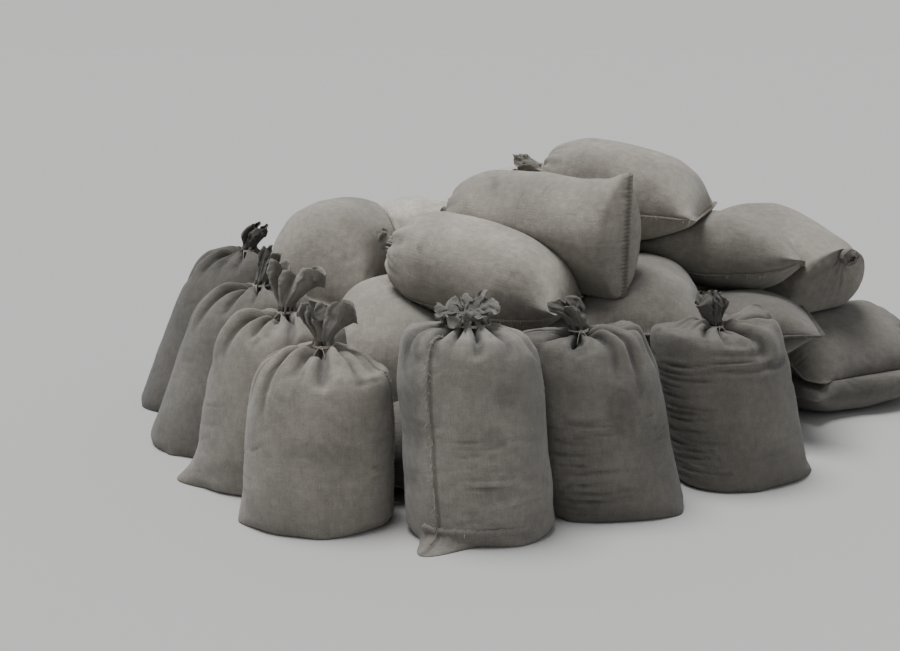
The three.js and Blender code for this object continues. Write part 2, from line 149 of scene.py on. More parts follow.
NECK_FOLDS = dict(
    front_row_sack_1=((0.56, 0.3, 0.02, 0.03, 0.07), (0.64, 0.24, 0.013, 0.018, 0.14),
        (0.8, 0.195, 0.014, 0.02, 0), (0.93, 0.18, 0.012, 0.018, 0), (0.1, 0.192, 0.016, 0.02, 0),
        (0.3, 0.24, 0.018, 0.022, 0)),
    front_row_sack_2=((0.57, 0.315, 0.014, 0.024, 0.07), (0.64, 0.3, 0.014, 0.024, 0.07),
        (0.71, 0.225, 0.012, 0.02, 0.14), (0.82, 0.18, 0.013, 0.018, 0), (0.95, 0.21, 0.012, 0.018, 0),
        (0.15, 0.216, 0.016, 0.02, 0), (0.35, 0.24, 0.018, 0.022, 0)),
    front_row_sack_3=((0.56, 0.36, 0.016, 0.026, 0.07), (0.63, 0.3, 0.018, 0.028, 0.07),
        (0.71, 0.195, 0.012, 0.024, 0.07), (0.775, 0.112, 0.01, 0.034, 0),
        (0.86, 0.24, 0.014, 0.022, -0.07), (0.95, 0.3, 0.012, 0.02, 0), (0.12, 0.216, 0.016, 0.02, 0),
        (0.35, 0.24, 0.018, 0.022, 0)),
    front_row_sack_4=((0.56, 0.33, 0.01, 0.016, 0.035), (0.61, 0.36, 0.011, 0.018, 0.07),
        (0.685, 0.195, 0.016, 0.028, 0.07), (0.74, 0.105, 0.009, 0.034, 0),
        (0.8, 0.225, 0.02, 0.026, -0.105), (0.9, 0.24, 0.014, 0.012, -0.07), (0.96, 0.2, 0.012, 0.01, 0),
        (0.1, 0.216, 0.016, 0.02, 0), (0.25, 0.192, 0.016, 0.02, 0), (0.4, 0.24, 0.018, 0.022, 0)),
    front_row_sack_5=((0.56, 0.24, 0.012, 0.016, 0.07), (0.64, 0.195, 0.012, 0.018, 0.07),
        (0.7, 0.15, 0.009, 0.014, 0), (0.805, 0.18, 0.013, 0.026, -0.21),
        (0.88, 0.18, 0.012, 0.016, -0.14), (0.95, 0.21, 0.012, 0.016, 0), (0.08, 0.192, 0.014, 0.018, 0),
        (0.2, 0.192, 0.014, 0.018, 0), (0.3, 0.192, 0.014, 0.018, 0), (0.42, 0.192, 0.014, 0.018, 0)),
    front_row_sack_6=((0.58, 0.21, 0.014, 0.022, 0.07), (0.68, 0.195, 0.015, 0.02, 0.07),
        (0.735, 0.2, 0.02, 0.016, -0.1), (0.82, 0.3, 0.018, 0.018, -0.07),
        (0.88, 0.36, 0.014, 0.02, -0.105), (0.95, 0.33, 0.012, 0.016, 0), (0.1, 0.216, 0.016, 0.02, 0),
        (0.3, 0.24, 0.018, 0.022, 0)),
    front_row_sack_7=((0.6, 0.2, 0.014, 0.02, 0.16), (0.67, 0.195, 0.013, 0.024, 0.18),
        (0.73, 0.135, 0.011, 0.026, 0.07), (0.82, 0.3, 0.02, 0.028, -0.07),
        (0.93, 0.39, 0.018, 0.024, 0), (0.1, 0.264, 0.018, 0.022, 0), (0.3, 0.24, 0.018, 0.022, 0)),
)

# Where cloth stands up or sinks near a neck: place round the sack, distance from the twine along the
# cloth, how far it spreads round (metres) and along, and how much it rises.

PUFFS = dict(
    front_row_sack_1=((0.6, 0.1, 0.06, 0.04, 0.016), (0.9, 0.09, 0.05, 0.04, 0.014)),
    front_row_sack_2=((0.6, 0.12, 0.05, 0.04, 0.016), (0.85, 0.1, 0.05, 0.04, 0.012)),
    front_row_sack_3=((0.9, 0.1, 0.05, 0.035, 0.024), (0.6, 0.12, 0.05, 0.05, 0.016),
        (0.76, 0.05, 0.03, 0.025, -0.012)),
    front_row_sack_4=((0.6, 0.1, 0.05, 0.04, 0.014), (0.86, 0.09, 0.05, 0.03, 0.012)),
    front_row_sack_5=((0.6, 0.1, 0.05, 0.04, 0.012), (0.9, 0.09, 0.05, 0.04, 0.012)),
    front_row_sack_6=((0.87, 0.1, 0.045, 0.06, 0.026), (0.7, 0.075, 0.045, 0.04, -0.014)),
    front_row_sack_7=((0.48, 0.08, 0.07, 0.04, 0.034), (0.93, 0.13, 0.07, 0.045, 0.022),
        (0.03, 0.2, 0.05, 0.05, 0.02)),
)

# Where cloth pushes out at a base: place round the sack, its spread round in turns, how far it
# reaches out and how high it comes.

TOES = dict(
    front_row_sack_2=((0.72, 0.03, 0.016, 0.03),),
    front_row_sack_3=((0.585, 0.035, 0.07, 0.05),),
    front_row_sack_4=((0.57, 0.03, 0.026, 0.035), (0.8, 0.05, 0.014, 0.03)),
    front_row_sack_5=((0.65, 0.045, 0.12, 0.028), (0.84, 0.05, 0.018, 0.035)),
    front_row_sack_6=((0.9, 0.04, 0.03, 0.035), (0.62, 0.03, 0.016, 0.03)),
    front_row_sack_7=((0.94, 0.035, 0.026, 0.035), (0.7, 0.04, 0.014, 0.03)),
)

# The sacks that lie behind. foot is the middle of the sewn end, neck the middle of the tied end, half
# is half the width and half the thickness, turn turns the flat width about the length, blunt is how
# full the sewn end is, hang is how far its edge hangs down, and lift how far its neck is bent up.
# seam_half is half the width of the sewn end where it is not the usual one. A hidden sack has bare
# cloth, and a tied one shows its twine.

LYING = dict(
    ground_sack_1=dict(foot=(-0.56, -0.41, 0.122), neck=(-0.56, 0.32, 0.122), half=(0.262, 0.142),
        hidden=True),
    ground_sack_2=dict(foot=(-0.01, -0.44, 0.122), neck=(0, 0.33, 0.122), half=(0.262, 0.142),
        hidden=True),
    ground_sack_3=dict(foot=(0.93, 0.02, 0.128), neck=(0.25, -0.01, 0.128), half=(0.25, 0.16),
        hidden=True),
    ground_sack_4=dict(foot=(-0.85, 1.06, 0.122), neck=(-0.83, 0.29, 0.122), half=(0.262, 0.142)),
    ground_sack_5=dict(foot=(-0.3, 1.15, 0.122), neck=(-0.3, 0.36, 0.122), half=(0.262, 0.142)),
    ground_sack_6=dict(foot=(0.24, 1.18, 0.122), neck=(0.23, 0.4, 0.122), half=(0.262, 0.142)),
    ground_sack_7=dict(foot=(0.77, 1.15, 0.122), neck=(0.74, 0.34, 0.122), half=(0.262, 0.142)),
    ground_sack_8=dict(foot=(1.03, 0.335, 0.066), neck=(1.68, 0.61, 0.106), half=(0.25, 0.106), turn=-8),
    ground_sack_9=dict(foot=(1.74, 1.19, 0.122), neck=(1.02, 0.99, 0.122), half=(0.26, 0.145)),
    ground_sack_10=dict(foot=(-0.66, -0.585, 0.15), neck=(0.09, -0.585, 0.15), half=(0.205, 0.17),
        hidden=True),
    second_layer_sack_1=dict(foot=(-0.58, -0.4, 0.35), neck=(-0.56, 0.32, 0.465), half=(0.242, 0.19),
        blunt=0.6, hang=0.11),
    second_layer_sack_2=dict(foot=(-0.02, -0.35, 0.385), neck=(0, 0.4, 0.385), half=(0.255, 0.15),
        hidden=True),
    second_layer_sack_3=dict(foot=(1.065, 0.02, 0.456), neck=(0.37, 0.11, 0.36), half=(0.245, 0.134),
        blunt=-0.5),
    second_layer_sack_4=dict(foot=(1.056, 0.322, 0.232), neck=(1.69, 0.715, 0.222), half=(0.23, 0.136),
        turn=32),
    second_layer_sack_5=dict(foot=(-0.85, 1.01, 0.385), neck=(-0.85, 0.26, 0.385), half=(0.255, 0.15)),
    second_layer_sack_6=dict(foot=(-0.3, 1.13, 0.385), neck=(-0.31, 0.4, 0.385), half=(0.255, 0.15)),
    second_layer_sack_7=dict(foot=(0.25, 1.15, 0.385), neck=(0.23, 0.42, 0.385), half=(0.255, 0.15)),
    second_layer_sack_8=dict(foot=(0.8, 1.13, 0.385), neck=(0.76, 0.42, 0.385), half=(0.255, 0.15)),
    third_layer_sack_1=dict(foot=(-0.922, 0.27, 0.634), neck=(-0.705, 0.86, 0.652), half=(0.24, 0.212),
        turn=12, blunt=0.75, hang=0.15),
    third_layer_sack_2=dict(foot=(-0.48, 1.18, 0.62), neck=(-0.48, 0.5, 0.695), half=(0.232, 0.18)),
    third_layer_sack_3=dict(foot=(0.105, -0.25, 0.59), neck=(-0.573, 0.02, 0.752), half=(0.225, 0.188)),
    third_layer_sack_4=dict(foot=(0.345, -0.345, 0.485), neck=(0.42, 0.385, 0.545), half=(0.238, 0.168)),
    third_layer_sack_5=dict(foot=(1.07, 0.2, 0.648), neck=(0.4, 0.42, 0.725), half=(0.235, 0.15),
        turn=12, blunt=-0.6),
    third_layer_sack_6=dict(foot=(0.94, 1, 0.68), neck=(1.285, 0.34, 0.47), half=(0.25, 0.2), lift=0.19),
    third_layer_sack_7=dict(foot=(0.06, 1.15, 0.63), neck=(0.09, 0.43, 0.64), half=(0.235, 0.16)),
    third_layer_sack_8=dict(foot=(0.6, 1.22, 0.62), neck=(0.6, 0.56, 0.64), half=(0.235, 0.16)),
    upper_sack_1=dict(foot=(0.292, -0.262, 0.8), neck=(-0.33, 0.33, 0.818), half=(0.222, 0.192),
        seam_half=0.262, turn=90, blunt=0.6),
    upper_sack_2=dict(foot=(-0.33, 0.68, 0.785), neck=(0.35, 0.88, 0.83), half=(0.235, 0.172)),
    top_sack=dict(foot=(0.68, 0.25, 0.85), neck=(0.037, 0.5, 0.99), half=(0.235, 0.185), tied=True),
)

# Which of them are of darker or paler cloth, and which lie at the back, out of the camera's sight

DARK = ("second_layer_sack_3", "second_layer_sack_4", "second_layer_sack_7", "ground_sack_4",
        "ground_sack_7", "third_layer_sack_6")
PALE = ("third_layer_sack_2", "upper_sack_2", "third_layer_sack_7", "second_layer_sack_5")
BACK = ("ground_sack_4", "ground_sack_5", "ground_sack_6", "ground_sack_7", "ground_sack_9",
        "second_layer_sack_5", "second_layer_sack_6", "second_layer_sack_7", "second_layer_sack_8",
        "third_layer_sack_7", "third_layer_sack_8", "third_layer_sack_2")

# Profiles. Each row is the share of the length, of the half width and of the half depth.

STANDING_PROFILE = [(0, 0.93, 0.86), (0.08, 1.02, 0.97), (0.3, 1.01, 1), (0.55, 1, 0.99),
                    (0.76, 0.96, 0.95), (0.88, 0.85, 0.82), (0.955, 0.58, 0.56)]
LYING_PROFILE = [(0, 1.04, 0), (0.035, 1.02, 0.4), (0.12, 0.97, 0.76), (0.28, 0.96, 0.98),
                 (0.5, 1, 1.02), (0.72, 0.98, 0.97), (0.88, 0.8, 0.77), (0.96, 0.48, 0.5)]

# How finely a sack's grid is cut: places round it, rows along the body, rows up the tuft

FRONT_GRID = (168, 104, 44)
NEAR_GRID = (144, 92, 22)
FAR_GRID = (112, 64, 14)
HIDDEN_GRID = (64, 36, 8)


def unit(vector):
    return vector / np.linalg.norm(vector)


def turned(vector, axis, degrees):
    """The vector turned about an axis, by Rodrigues' formula."""
    angle = math.radians(degrees)
    return (vector * math.cos(angle) + np.cross(axis, vector) * math.sin(angle)
            + axis * (axis @ vector) * (1 - math.cos(angle)))


def mix(first, second, share):
    return first + (second - first) * share


def smoothstep(low, high, value):
    share = np.clip((value - low) / (high - low), 0, 1)
    return share * share * (3 - 2 * share)


def monotone_curve(places, values, at):
    """A smooth curve through rows that never overshoots: cubic pieces whose slope at each row is the
    harmonic mean of the slopes on its two sides, or zero where they turn."""
    places, values = np.asarray(places, float), np.asarray(values, float)
    steps = np.diff(places)
    slopes = np.diff(values) / steps
    inner = np.where(slopes[:-1] * slopes[1:] > 0,
                     2 * slopes[:-1] * slopes[1:] / (slopes[:-1] + slopes[1:] + 1e-12), 0)
    tangents = np.concatenate([[slopes[0]], inner, [slopes[-1]]])
    cell = np.clip(np.searchsorted(places, at) - 1, 0, len(steps) - 1)
    share = (at - places[cell]) / steps[cell]
    return ((2 * share ** 3 - 3 * share ** 2 + 1) * values[cell]
            + (share ** 3 - 2 * share ** 2 + share) * steps[cell] * tangents[cell]
            + (3 * share ** 2 - 2 * share ** 3) * values[cell + 1]
            + (share ** 3 - share ** 2) * steps[cell] * tangents[cell + 1])


# The sacks as the frame has them

def sack_axes(sack):
    """Along the length, across the flat width, through the thickness, and the length. A standing
    sack leans as its grain settles, so its sections stay level."""
    along = sack["neck"] - sack["foot"]
    length = np.linalg.norm(along)
    along = along / length
    if sack["standing"]:
        across = turned(np.array([1.0, 0, 0]), UP, sack["turn"])
        return along, across, np.cross(UP, across), length
    across = turned(unit(np.cross(along, UP)), along, sack["turn"])
    return along, across, np.cross(along, across), length


def all_sacks():
    """Every sack by name, with what its row in the two lists leaves out filled in."""
    plain = dict(hidden=False, tied=False, square=0, ears=(0, 0), rim=(0, 0), blunt=0, hang=0, lift=0,
                 turn=0, neck_half=(NECK_RADIUS, NECK_RADIUS))
    sacks = {}
    for number, (name, row) in enumerate([*FRONT_ROW.items(), *LYING.items()]):
        sack = {**plain, **row, "name": name, "number": number, "seed": 100 + number * 7}
        sack["standing"] = name in FRONT_ROW
        if sack["standing"]:
            sack.update(foot=(*row["foot"], -BASE_SINK), seam_half=row["half"][0], tied=True,
                        grid=FRONT_GRID, profile=STANDING_PROFILE)
        else:
            sack.update(seam_half=row.get("seam_half", row["half"][0] + SEAM_SPREAD),
                        slot="dark_jute" if name in DARK else "pale_jute" if name in PALE else "jute",
                        grid=HIDDEN_GRID if sack["hidden"] else FAR_GRID if name in BACK else NEAR_GRID,
                        profile=LYING_PROFILE)
        sack.update(foot=np.array(sack["foot"], float), neck=np.array(sack["neck"], float),
                    look=LOOKS.get(name, {}), tone=TONES.get(name, 1.0), folds=NECK_FOLDS.get(name, ()))
        sacks[name] = sack
    return sacks


def heap_shift(sacks):
    """How far the frame lies from the two lists: where a twine ring is, against its place there."""
    sack = sacks["front_row_sack_4"]
    along = sack_axes(sack)[0]
    low, high = (np.array(corner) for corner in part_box("front_row_sack_4_twine"))
    return (low + high) / 2 - (sack["neck"] - along * NECK_LENGTH / 8)


def node_faces(node):
    """The triangles of a CAD node, slivers left out: their normals, offsets and areas."""
    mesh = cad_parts[node].data
    corners = np.zeros(len(mesh.vertices) * 3, np.float32)
    mesh.vertices.foreach_get("co", corners)
    mesh.calc_loop_triangles()
    triangles = np.zeros(len(mesh.loop_triangles) * 3, np.int32)
    mesh.loop_triangles.foreach_get("vertices", triangles)
    points = corners.reshape(-1, 3).astype(float)[triangles.reshape(-1, 3)]
    normals = np.cross(points[:, 1] - points[:, 0], points[:, 2] - points[:, 0])
    areas = np.linalg.norm(normals, axis=1) / 2
    large = areas > SMALLEST_FACE
    normals = normals[large] / (2 * areas[large, None])
    return normals, np.einsum("ij,ij->i", normals, points[large].mean(1)), areas[large]


def contact_planes(sacks):
    """The planes that pressed sacks share. Two nodes touch where a face of one and a face of the
    other look at each other, with opposite normals and only the gap between them."""
    faces = {name: node_faces(name) for name in sacks}
    boxes = {name: [np.array(corner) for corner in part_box(name)] for name in sacks}
    planes = {name: [(-UP, 0.0)] for name in sacks}
    names = list(sacks)
    for position, first in enumerate(names):
        for second in names[position + 1:]:
            (low_a, high_a), (low_b, high_b) = boxes[first], boxes[second]
            if (low_a > high_b + BOX_MARGIN).any() or (low_b > high_a + BOX_MARGIN).any():
                continue
            (normal_a, offset_a, area_a), (normal_b, offset_b, _) = faces[first], faces[second]
            facing = normal_a @ normal_b.T < FACING
            apart = np.abs(offset_a[:, None] + offset_b[None] + GAP) < GAP_ERROR
            hits = (facing & apart).any(1)
            if area_a[hits].sum() > LEAST_CONTACT:
                weight = area_a[hits]
                normal = unit((normal_a[hits] * weight[:, None]).sum(0))
                offset = (offset_a[hits] * weight).sum() / weight.sum()
                planes[first].append((normal, offset))
                planes[second].append((-normal, -offset - GAP))
    return planes


def pressed(points, planes):
    """Cloth held inside its planes. Its height over a plane, e, becomes -k log(1 + exp(-e / k)): far
    inside nothing changes, near the plane it turns softly, and beyond it lies flat."""
    for normal, offset in planes:
        height = points @ normal - offset
        soft = -PRESS_ROUND * np.logaddexp(0, -height / PRESS_ROUND)
        points = points + (soft - height)[..., None] * normal
    return points


# The surface of a sack

def body_rows(sack):
    """The rows from the sewn end or base to the neck: share of the length, half width, half depth and
    distance along the cloth, spaced evenly along the cloth and closer where it gathers."""
    length = sack_axes(sack)[3]
    wide, deep = sack["half"]
    rows = []
    for share, part_wide, part_deep in sack["profile"]:
        near = 0 if sack["standing"] else max(0, 1 - share / SEAM_SHARE)
        if share > 0.5:
            part_wide = 1 - (1 - part_wide) * (1 - sack["square"])
            part_deep = 1 - (1 - part_deep) * (1 - sack["square"])
        elif share > 0:
            part_deep = part_deep ** (1 - sack["blunt"])
        rows.append((share, mix(wide * part_wide, sack["seam_half"], near ** 2),
                     max(HEM_HALF, deep * part_deep)))
    neck = NECK_LENGTH / length / 2
    rows += [(1 - neck, *sack["neck_half"]), (1 + neck, *sack["neck_half"])]
    places, wides, deeps = (np.array(column) for column in zip(*rows))
    fine = np.concatenate([np.linspace(0, 0.9, 700)[:-1], np.linspace(0.9, 1 + neck, 700)])
    fine_wide, fine_deep = (monotone_curve(places, column, fine) for column in (wides, deeps))
    step = np.sqrt((np.diff(fine) * length) ** 2
                   + (np.diff(fine_wide) ** 2 + np.diff(fine_deep) ** 2) / 2)
    cloth = np.concatenate([[0], np.cumsum(step)])
    gather = 1 + 1.6 * smoothstep(0.24, 0.03, cloth[-1] - cloth)
    if not sack["standing"]:
        gather = gather + 1.2 * smoothstep(0.1, 0, cloth)
    spacing = np.concatenate([[0], np.cumsum((gather[1:] + gather[:-1]) / 2 * np.diff(cloth))])
    even = np.linspace(0, spacing[-1], sack["grid"][1])
    pick = np.interp(even, spacing, np.arange(len(fine)))
    return [np.interp(pick, np.arange(len(fine)), column)
            for column in (fine, fine_wide, fine_deep, cloth)]


def section(wide, deep, power_x, power_y, columns):
    """Points round a section, evenly spaced: x = w |cos|^(2/px), y = d |sin|^(2/py), with their
    signs. Each row is walked once round at its own even steps."""
    def at(angle):
        c, s = np.cos(angle), np.sin(angle)
        return (wide[:, None] * np.sign(c) * np.abs(c) ** (2 / power_x[:, None]),
                deep[:, None] * np.sign(s) * np.abs(s) ** (2 / power_y[:, None]))

    angle = np.linspace(0, FULL_TURN, columns * 4 + 1)
    x, y = at(angle)
    run = np.hypot(np.diff(x, axis=1), np.diff(y, axis=1))
    walk = np.concatenate([np.zeros((len(wide), 1)), np.cumsum(run, axis=1)], axis=1)
    goal = np.linspace(0, 1, columns + 1)[:-1]
    return *at(np.stack([np.interp(goal * row[-1], row, angle) for row in walk])), walk[:, -1]


def outward(points):
    """The unit normals of a grid that closes round: the step round it crossed with the step along."""
    round_step = np.roll(points, -1, axis=1) - np.roll(points, 1, axis=1)
    along_step = np.gradient(points, axis=0)
    normal = np.cross(round_step, along_step)
    return normal / (np.linalg.norm(normal, axis=2, keepdims=True) + 1e-12)


def lumps(points, seed, size):
    """Slow swells from grain that has settled: a sum of nine sine waves in space with random directions
    and lengths near the given size."""
    random = np.random.default_rng(seed)
    total = np.zeros(points.shape[:2])
    count = 9
    for _ in range(count):
        direction = unit(random.normal(size=3))
        wave = FULL_TURN / (size * random.uniform(0.7, 1.6))
        total += np.sin(points @ direction * wave + random.uniform(0, FULL_TURN))
    return total / math.sqrt(count)


def wrapped(turn_share):
    """A distance round a sack as a share of a turn, the short way: between -1/2 and 1/2."""
    return (turn_share + 0.5) % 1 - 0.5


def furrow(across):
    """A fold in cloth, seen across it: a sharp valley with a rounder crest on each side."""
    return (-np.exp(-np.abs(across) ** 1.4) + 0.5 * np.exp(-((across - 1.7) / 1.0) ** 2)
            + 0.25 * np.exp(-((across + 1.9) / 1.1) ** 2))


def neck_folds(around, from_neck, girth, seed, chosen, broad, narrow, strength, fine):
    """Folds that run down from the neck: the chosen ones, their depth times strength, then so many
    broad and narrow ones in seeded places, their depth times fine. Each keeps its place round the sack,
    bends a little, widens and fades with the distance from the twine, and is deepest a thumb's length
    below it."""
    random = np.random.default_rng(seed)
    folds = [(*fold[:3], fold[3] * strength, fold[4]) for fold in chosen]
    for count, reach, width, depth in ((broad, (0.18, 0.32), (0.009, 0.018), (0.010, 0.018)),
                                       (narrow, (0.09, 0.24), (0.0035, 0.008), (0.004, 0.010))):
        places = (np.arange(count) + random.uniform(-0.38, 0.38, count)) / max(count, 1)
        folds += [(place, random.uniform(*reach), random.uniform(*width),
                   random.uniform(*depth) * fine, random.normal(0, 0.09)) for place in places]
    total = np.zeros((len(from_neck), len(around)))
    for place, reach, width, depth, bend in folds:
        side = random.choice((-1, 1))
        course = place + bend * from_neck
        gap = wrapped(around[None] - course[:, None]) * girth[:, None]
        opening = width * (0.45 + 1.2 * from_neck / reach)
        fade = np.clip(1 - from_neck / reach, 0, 1) ** 0.8 * (0.3 + 0.7 * smoothstep(0, 0.03, from_neck))
        fade = fade * (1 + 0.1 * np.exp(-((from_neck - 0.05) / 0.04) ** 2))
        total += depth * fade[:, None] * furrow(side * gap / opening[:, None])
    return total


def seam_puckers(x, from_seam, seed):
    """Small pleats square to the sewn end, drawn in by its stitches, that fade over a hand's width: a
    sine across the width, whose phase wanders by three slower ones, times exp(-distance / length)."""
    random = np.random.default_rng(seed)
    phase = sum(random.uniform(0.3, 0.9) * np.sin(x * wave + random.uniform(0, FULL_TURN))
                for wave in (21, 37, 66))
    pleat = np.sin(FULL_TURN * x / PLEAT_PITCH + 2.2 * phase)
    pleat = pleat * (0.65 + 0.35 * np.sin(1.7 * phase + x * 29))
    long = 0.05 * (1 + 0.5 * np.sin(x * 43 + phase))
    fade = np.exp(-np.abs(from_seam)[:, None] / long)
    return pleat * fade * smoothstep(-0.004, 0.012, from_seam)[:, None]


def creases(around, cloth, girth, lines):
    """Single creases. A line is (place round, place along the cloth, place round, place along the
    cloth, width, depth, bow): a furrow from the first place to the second, deepest in its middle."""
    total = np.zeros((len(cloth), len(around)))
    for start_round, start_along, end_round, end_along, width, depth, bow in lines:
        run_round = (end_round - start_round) * girth.max()
        run_along = end_along - start_along
        long = math.hypot(run_round, run_along)
        u = wrapped(around[None] - start_round) * girth[:, None]
        v = (cloth - start_along)[:, None]
        share = (u * run_round + v * run_along) / long ** 2
        side = (v * run_round - u * run_along) / long - bow * 4 * share * (1 - share)
        window = np.sin(np.clip(share, 0, 1) * math.pi) ** 0.8
        total += depth * window * furrow(side / width)
    return total


def random_creases(seed, count, cloth_end):
    """Short shallow wrinkles in random places, as creases wants them."""
    random = np.random.default_rng(seed)
    lines = []
    for _ in range(count):
        place, along = random.uniform(0, 1), random.uniform(0.06, cloth_end - 0.2)
        turn, long = random.normal(0, 0.5), random.uniform(0.05, 0.16)
        lines.append((place, along, place + long * math.cos(turn) / 1.3, along + long * math.sin(turn),
                      random.uniform(0.004, 0.009), random.uniform(0.0012, 0.0032),
                      random.normal(0, 0.008)))
    return lines


def sack_form(sack):
    """The filled bag as it was cut and stuffed, before its cloth settles: its grid, and for each row
    the share of the length, the distance along the cloth and the girth.

    A point is foot + level along + x across + y through, with x and y on the row's superellipse. Ears
    and toes push x and y out by bell curves round the base, rims and puffs raise the shoulders by bell
    curves, the sewn edge hangs by the square and the neck bends up by the cube of its share."""
    along, across, through, length = sack_axes(sack)
    share, wide, deep, cloth = body_rows(sack)
    if sack["standing"]:
        power_x = np.full(len(share), FULLNESS)
        power_y = power_x
    else:
        filled = smoothstep(-0.02, 0.3, share)
        power_x = mix(ROUND, FULLNESS, filled)
        power_y = mix(POINTED, FULLNESS, filled)
    neck_round = smoothstep(0.93, 0.985, share)
    power_x, power_y = mix(power_x, ROUND, neck_round), mix(power_y, ROUND, neck_round)
    x, y, girth = section(wide, deep, power_x, power_y, sack["grid"][0])
    level = share[:, None] * length
    if sack["standing"]:
        edge = np.clip(np.abs(x) / wide[:, None], 0, 1)
        near = np.clip(1 - share / EAR_SHARE, 0, 1)[:, None] ** 2
        corner = near * edge ** (4 * FULLNESS)
        ear = np.where(x > 0, sack["ears"][1], sack["ears"][0])
        y = y * (1 - np.where(ear > 0, EAR_PINCH, 0) * corner)
        shoulder = np.exp(-((share - SHOULDER) / SHOULDER_SPREAD) ** 2)
        shoulder = shoulder * (1 - smoothstep(0.955, 0.98, share))
        rim = np.where(x > 0, sack["rim"][1], sack["rim"][0])
        level = level + rim * edge ** (0.75 * FULLNESS) * shoulder[:, None]
        x = x + np.sign(x) * ear * corner
        around = np.arange(x.shape[1]) / x.shape[1]
        for place, spread, reach, high in TOES.get(sack["name"], ()):
            toe = np.exp(-(wrapped(around - place) / spread) ** 2)
            toe = toe * np.exp(-(share[:, None] * length / high) ** 2)
            distance = np.hypot(x, y) + 1e-6
            x, y = x * (1 + reach * toe / distance), y * (1 + reach * toe / distance)
    centre = sack["foot"] + level[..., None] * along
    points = centre + x[..., None] * across + y[..., None] * through
    from_neck = (cloth[-1] - cloth)[:, None]
    for place, distance, spread_round, spread_along, rise in PUFFS.get(sack["name"], ()):
        apart = wrapped(np.arange(x.shape[1]) / x.shape[1] - place)[None] * girth[:, None]
        puff = np.exp(-(apart / spread_round) ** 2 - ((from_neck - distance) / spread_along) ** 2)
        points = points + (rise * puff * smoothstep(0.01, 0.04, from_neck))[..., None] * UP
    hung = np.clip(1 - share / HANG_SHARE, 0, 1) ** 2
    lifted = np.clip((share - LIFT_START) / (1 - LIFT_START), 0, 1) ** LIFT_POWER
    points = points + (sack["lift"] * lifted - sack["hang"] * hung)[:, None, None] * UP
    fullness = np.clip(deep / sack["half"][1], 0, 1)[:, None]
    swell = sum(rise * lumps(points, sack["seed"] + step, size)
                for step, (rise, size) in enumerate(SWELLS)) * fullness
    points = points + swell[..., None] * outward(points)
    return dict(points=points, share=share, cloth=cloth, girth=girth, x=x)


def cut_length(form, sack):
    """The same grid with each edge at the length that the flat cloth has. Round the sack that is the
    bag's full girth, but at most EXTRA_CLOTH times the row's own, and along it the form's length."""
    along = sack_axes(sack)[0]
    points, girth = form["points"][::COARSE, ::COARSE], form["girth"][::COARSE]
    full = girth.max() * 1.01
    more = np.minimum(full / girth, EXTRA_CLOTH)
    centre = points.mean(1)
    spokes = points - centre[:, None]
    step = np.linalg.norm(np.diff(points, axis=0), axis=2).mean(1)
    out = np.linalg.norm(spokes, axis=2).mean(1) * more
    rise = np.sqrt(np.maximum(step ** 2 - np.diff(out) ** 2, (0.15 * step) ** 2))
    height = np.concatenate([[0], np.cumsum(rise)])
    flat = spokes - (spokes @ along)[..., None] * along
    return centre[0] + height[:, None, None] * along + flat * more[:, None, None]


def settling_cloth(sack, form):
    """A sack's cloth ready to settle, as an object, and its rows and columns. It starts in its form with
    the neck folds laid on, its rest shape is cut_length's, and a weight holds each row: all at the neck
    and the sewn end, a little over the body."""
    points = form["points"]
    from_neck = form["cloth"][-1] - form["cloth"]
    around = np.arange(points.shape[1]) / points.shape[1]
    start = neck_folds(around, from_neck, form["girth"], sack["seed"] + 2, sack["folds"],
                       0 if sack["folds"] else 9, 14, START_FOLDS,
                       START_FOLDS * sack["look"].get("neck_strength", 1))
    start = (points + start[..., None] * outward(points))[::COARSE, ::COARSE]
    rows, columns = start.shape[:2]
    ends = [points[0].mean(0), points[-1].mean(0)]
    mesh = bpy.data.meshes.new("settling")
    mesh.from_pydata(np.concatenate([start.reshape(-1, 3), ends]).tolist(), [],
                     grid_faces(rows, columns, "pole", "pole"))
    cloth = bpy.data.objects.new("settling_" + sack["name"], mesh)
    bpy.context.scene.collection.objects.link(cloth)
    cloth.shape_key_add(name="form")
    rest = cut_length(form, sack)
    ends = [rest[0].mean(0), rest[-1].mean(0)]
    flat = cloth.shape_key_add(name="cut")
    flat.data.foreach_set("co", np.concatenate([rest.reshape(-1, 3), ends]).ravel())
    near_neck, near_end = from_neck[::COARSE], form["cloth"][::COARSE]
    hold = 0.12 * smoothstep(0.15, 0.4, near_neck)
    hold = np.maximum(hold, smoothstep(0.03, 0.012, near_neck))
    hold = np.maximum(hold, smoothstep(0.02, 0.004, near_end))
    if sack["standing"]:
        hold = np.where(form["share"][::COARSE] < 0.015, 1, hold)
    group = cloth.vertex_groups.new(name="hold")
    for row in range(rows):
        group.add(list(range(row * columns, (row + 1) * columns)), float(hold[row]), "REPLACE")
    group.add([rows * columns, rows * columns + 1], 1.0, "REPLACE")
    modifier = cloth.modifiers.new("Cloth", "CLOTH")
    settings = modifier.settings
    settings.rest_shape_key = flat
    for setting, value in dict(
            vertex_group_mass="hold", quality=6, mass=0.25, tension_stiffness=20,
            compression_stiffness=20, shear_stiffness=4, bending_stiffness=0.15, pin_stiffness=0.8,
            air_damping=2, use_pressure=True, uniform_pressure_force=1.5).items():
        setattr(settings, setting, value)
    settings.effector_weights.gravity = 0
    modifier.collision_settings.use_collision = False
    modifier.point_cache.frame_start = 1
    modifier.point_cache.frame_end = SETTLE_FRAMES
    return cloth, rows, columns


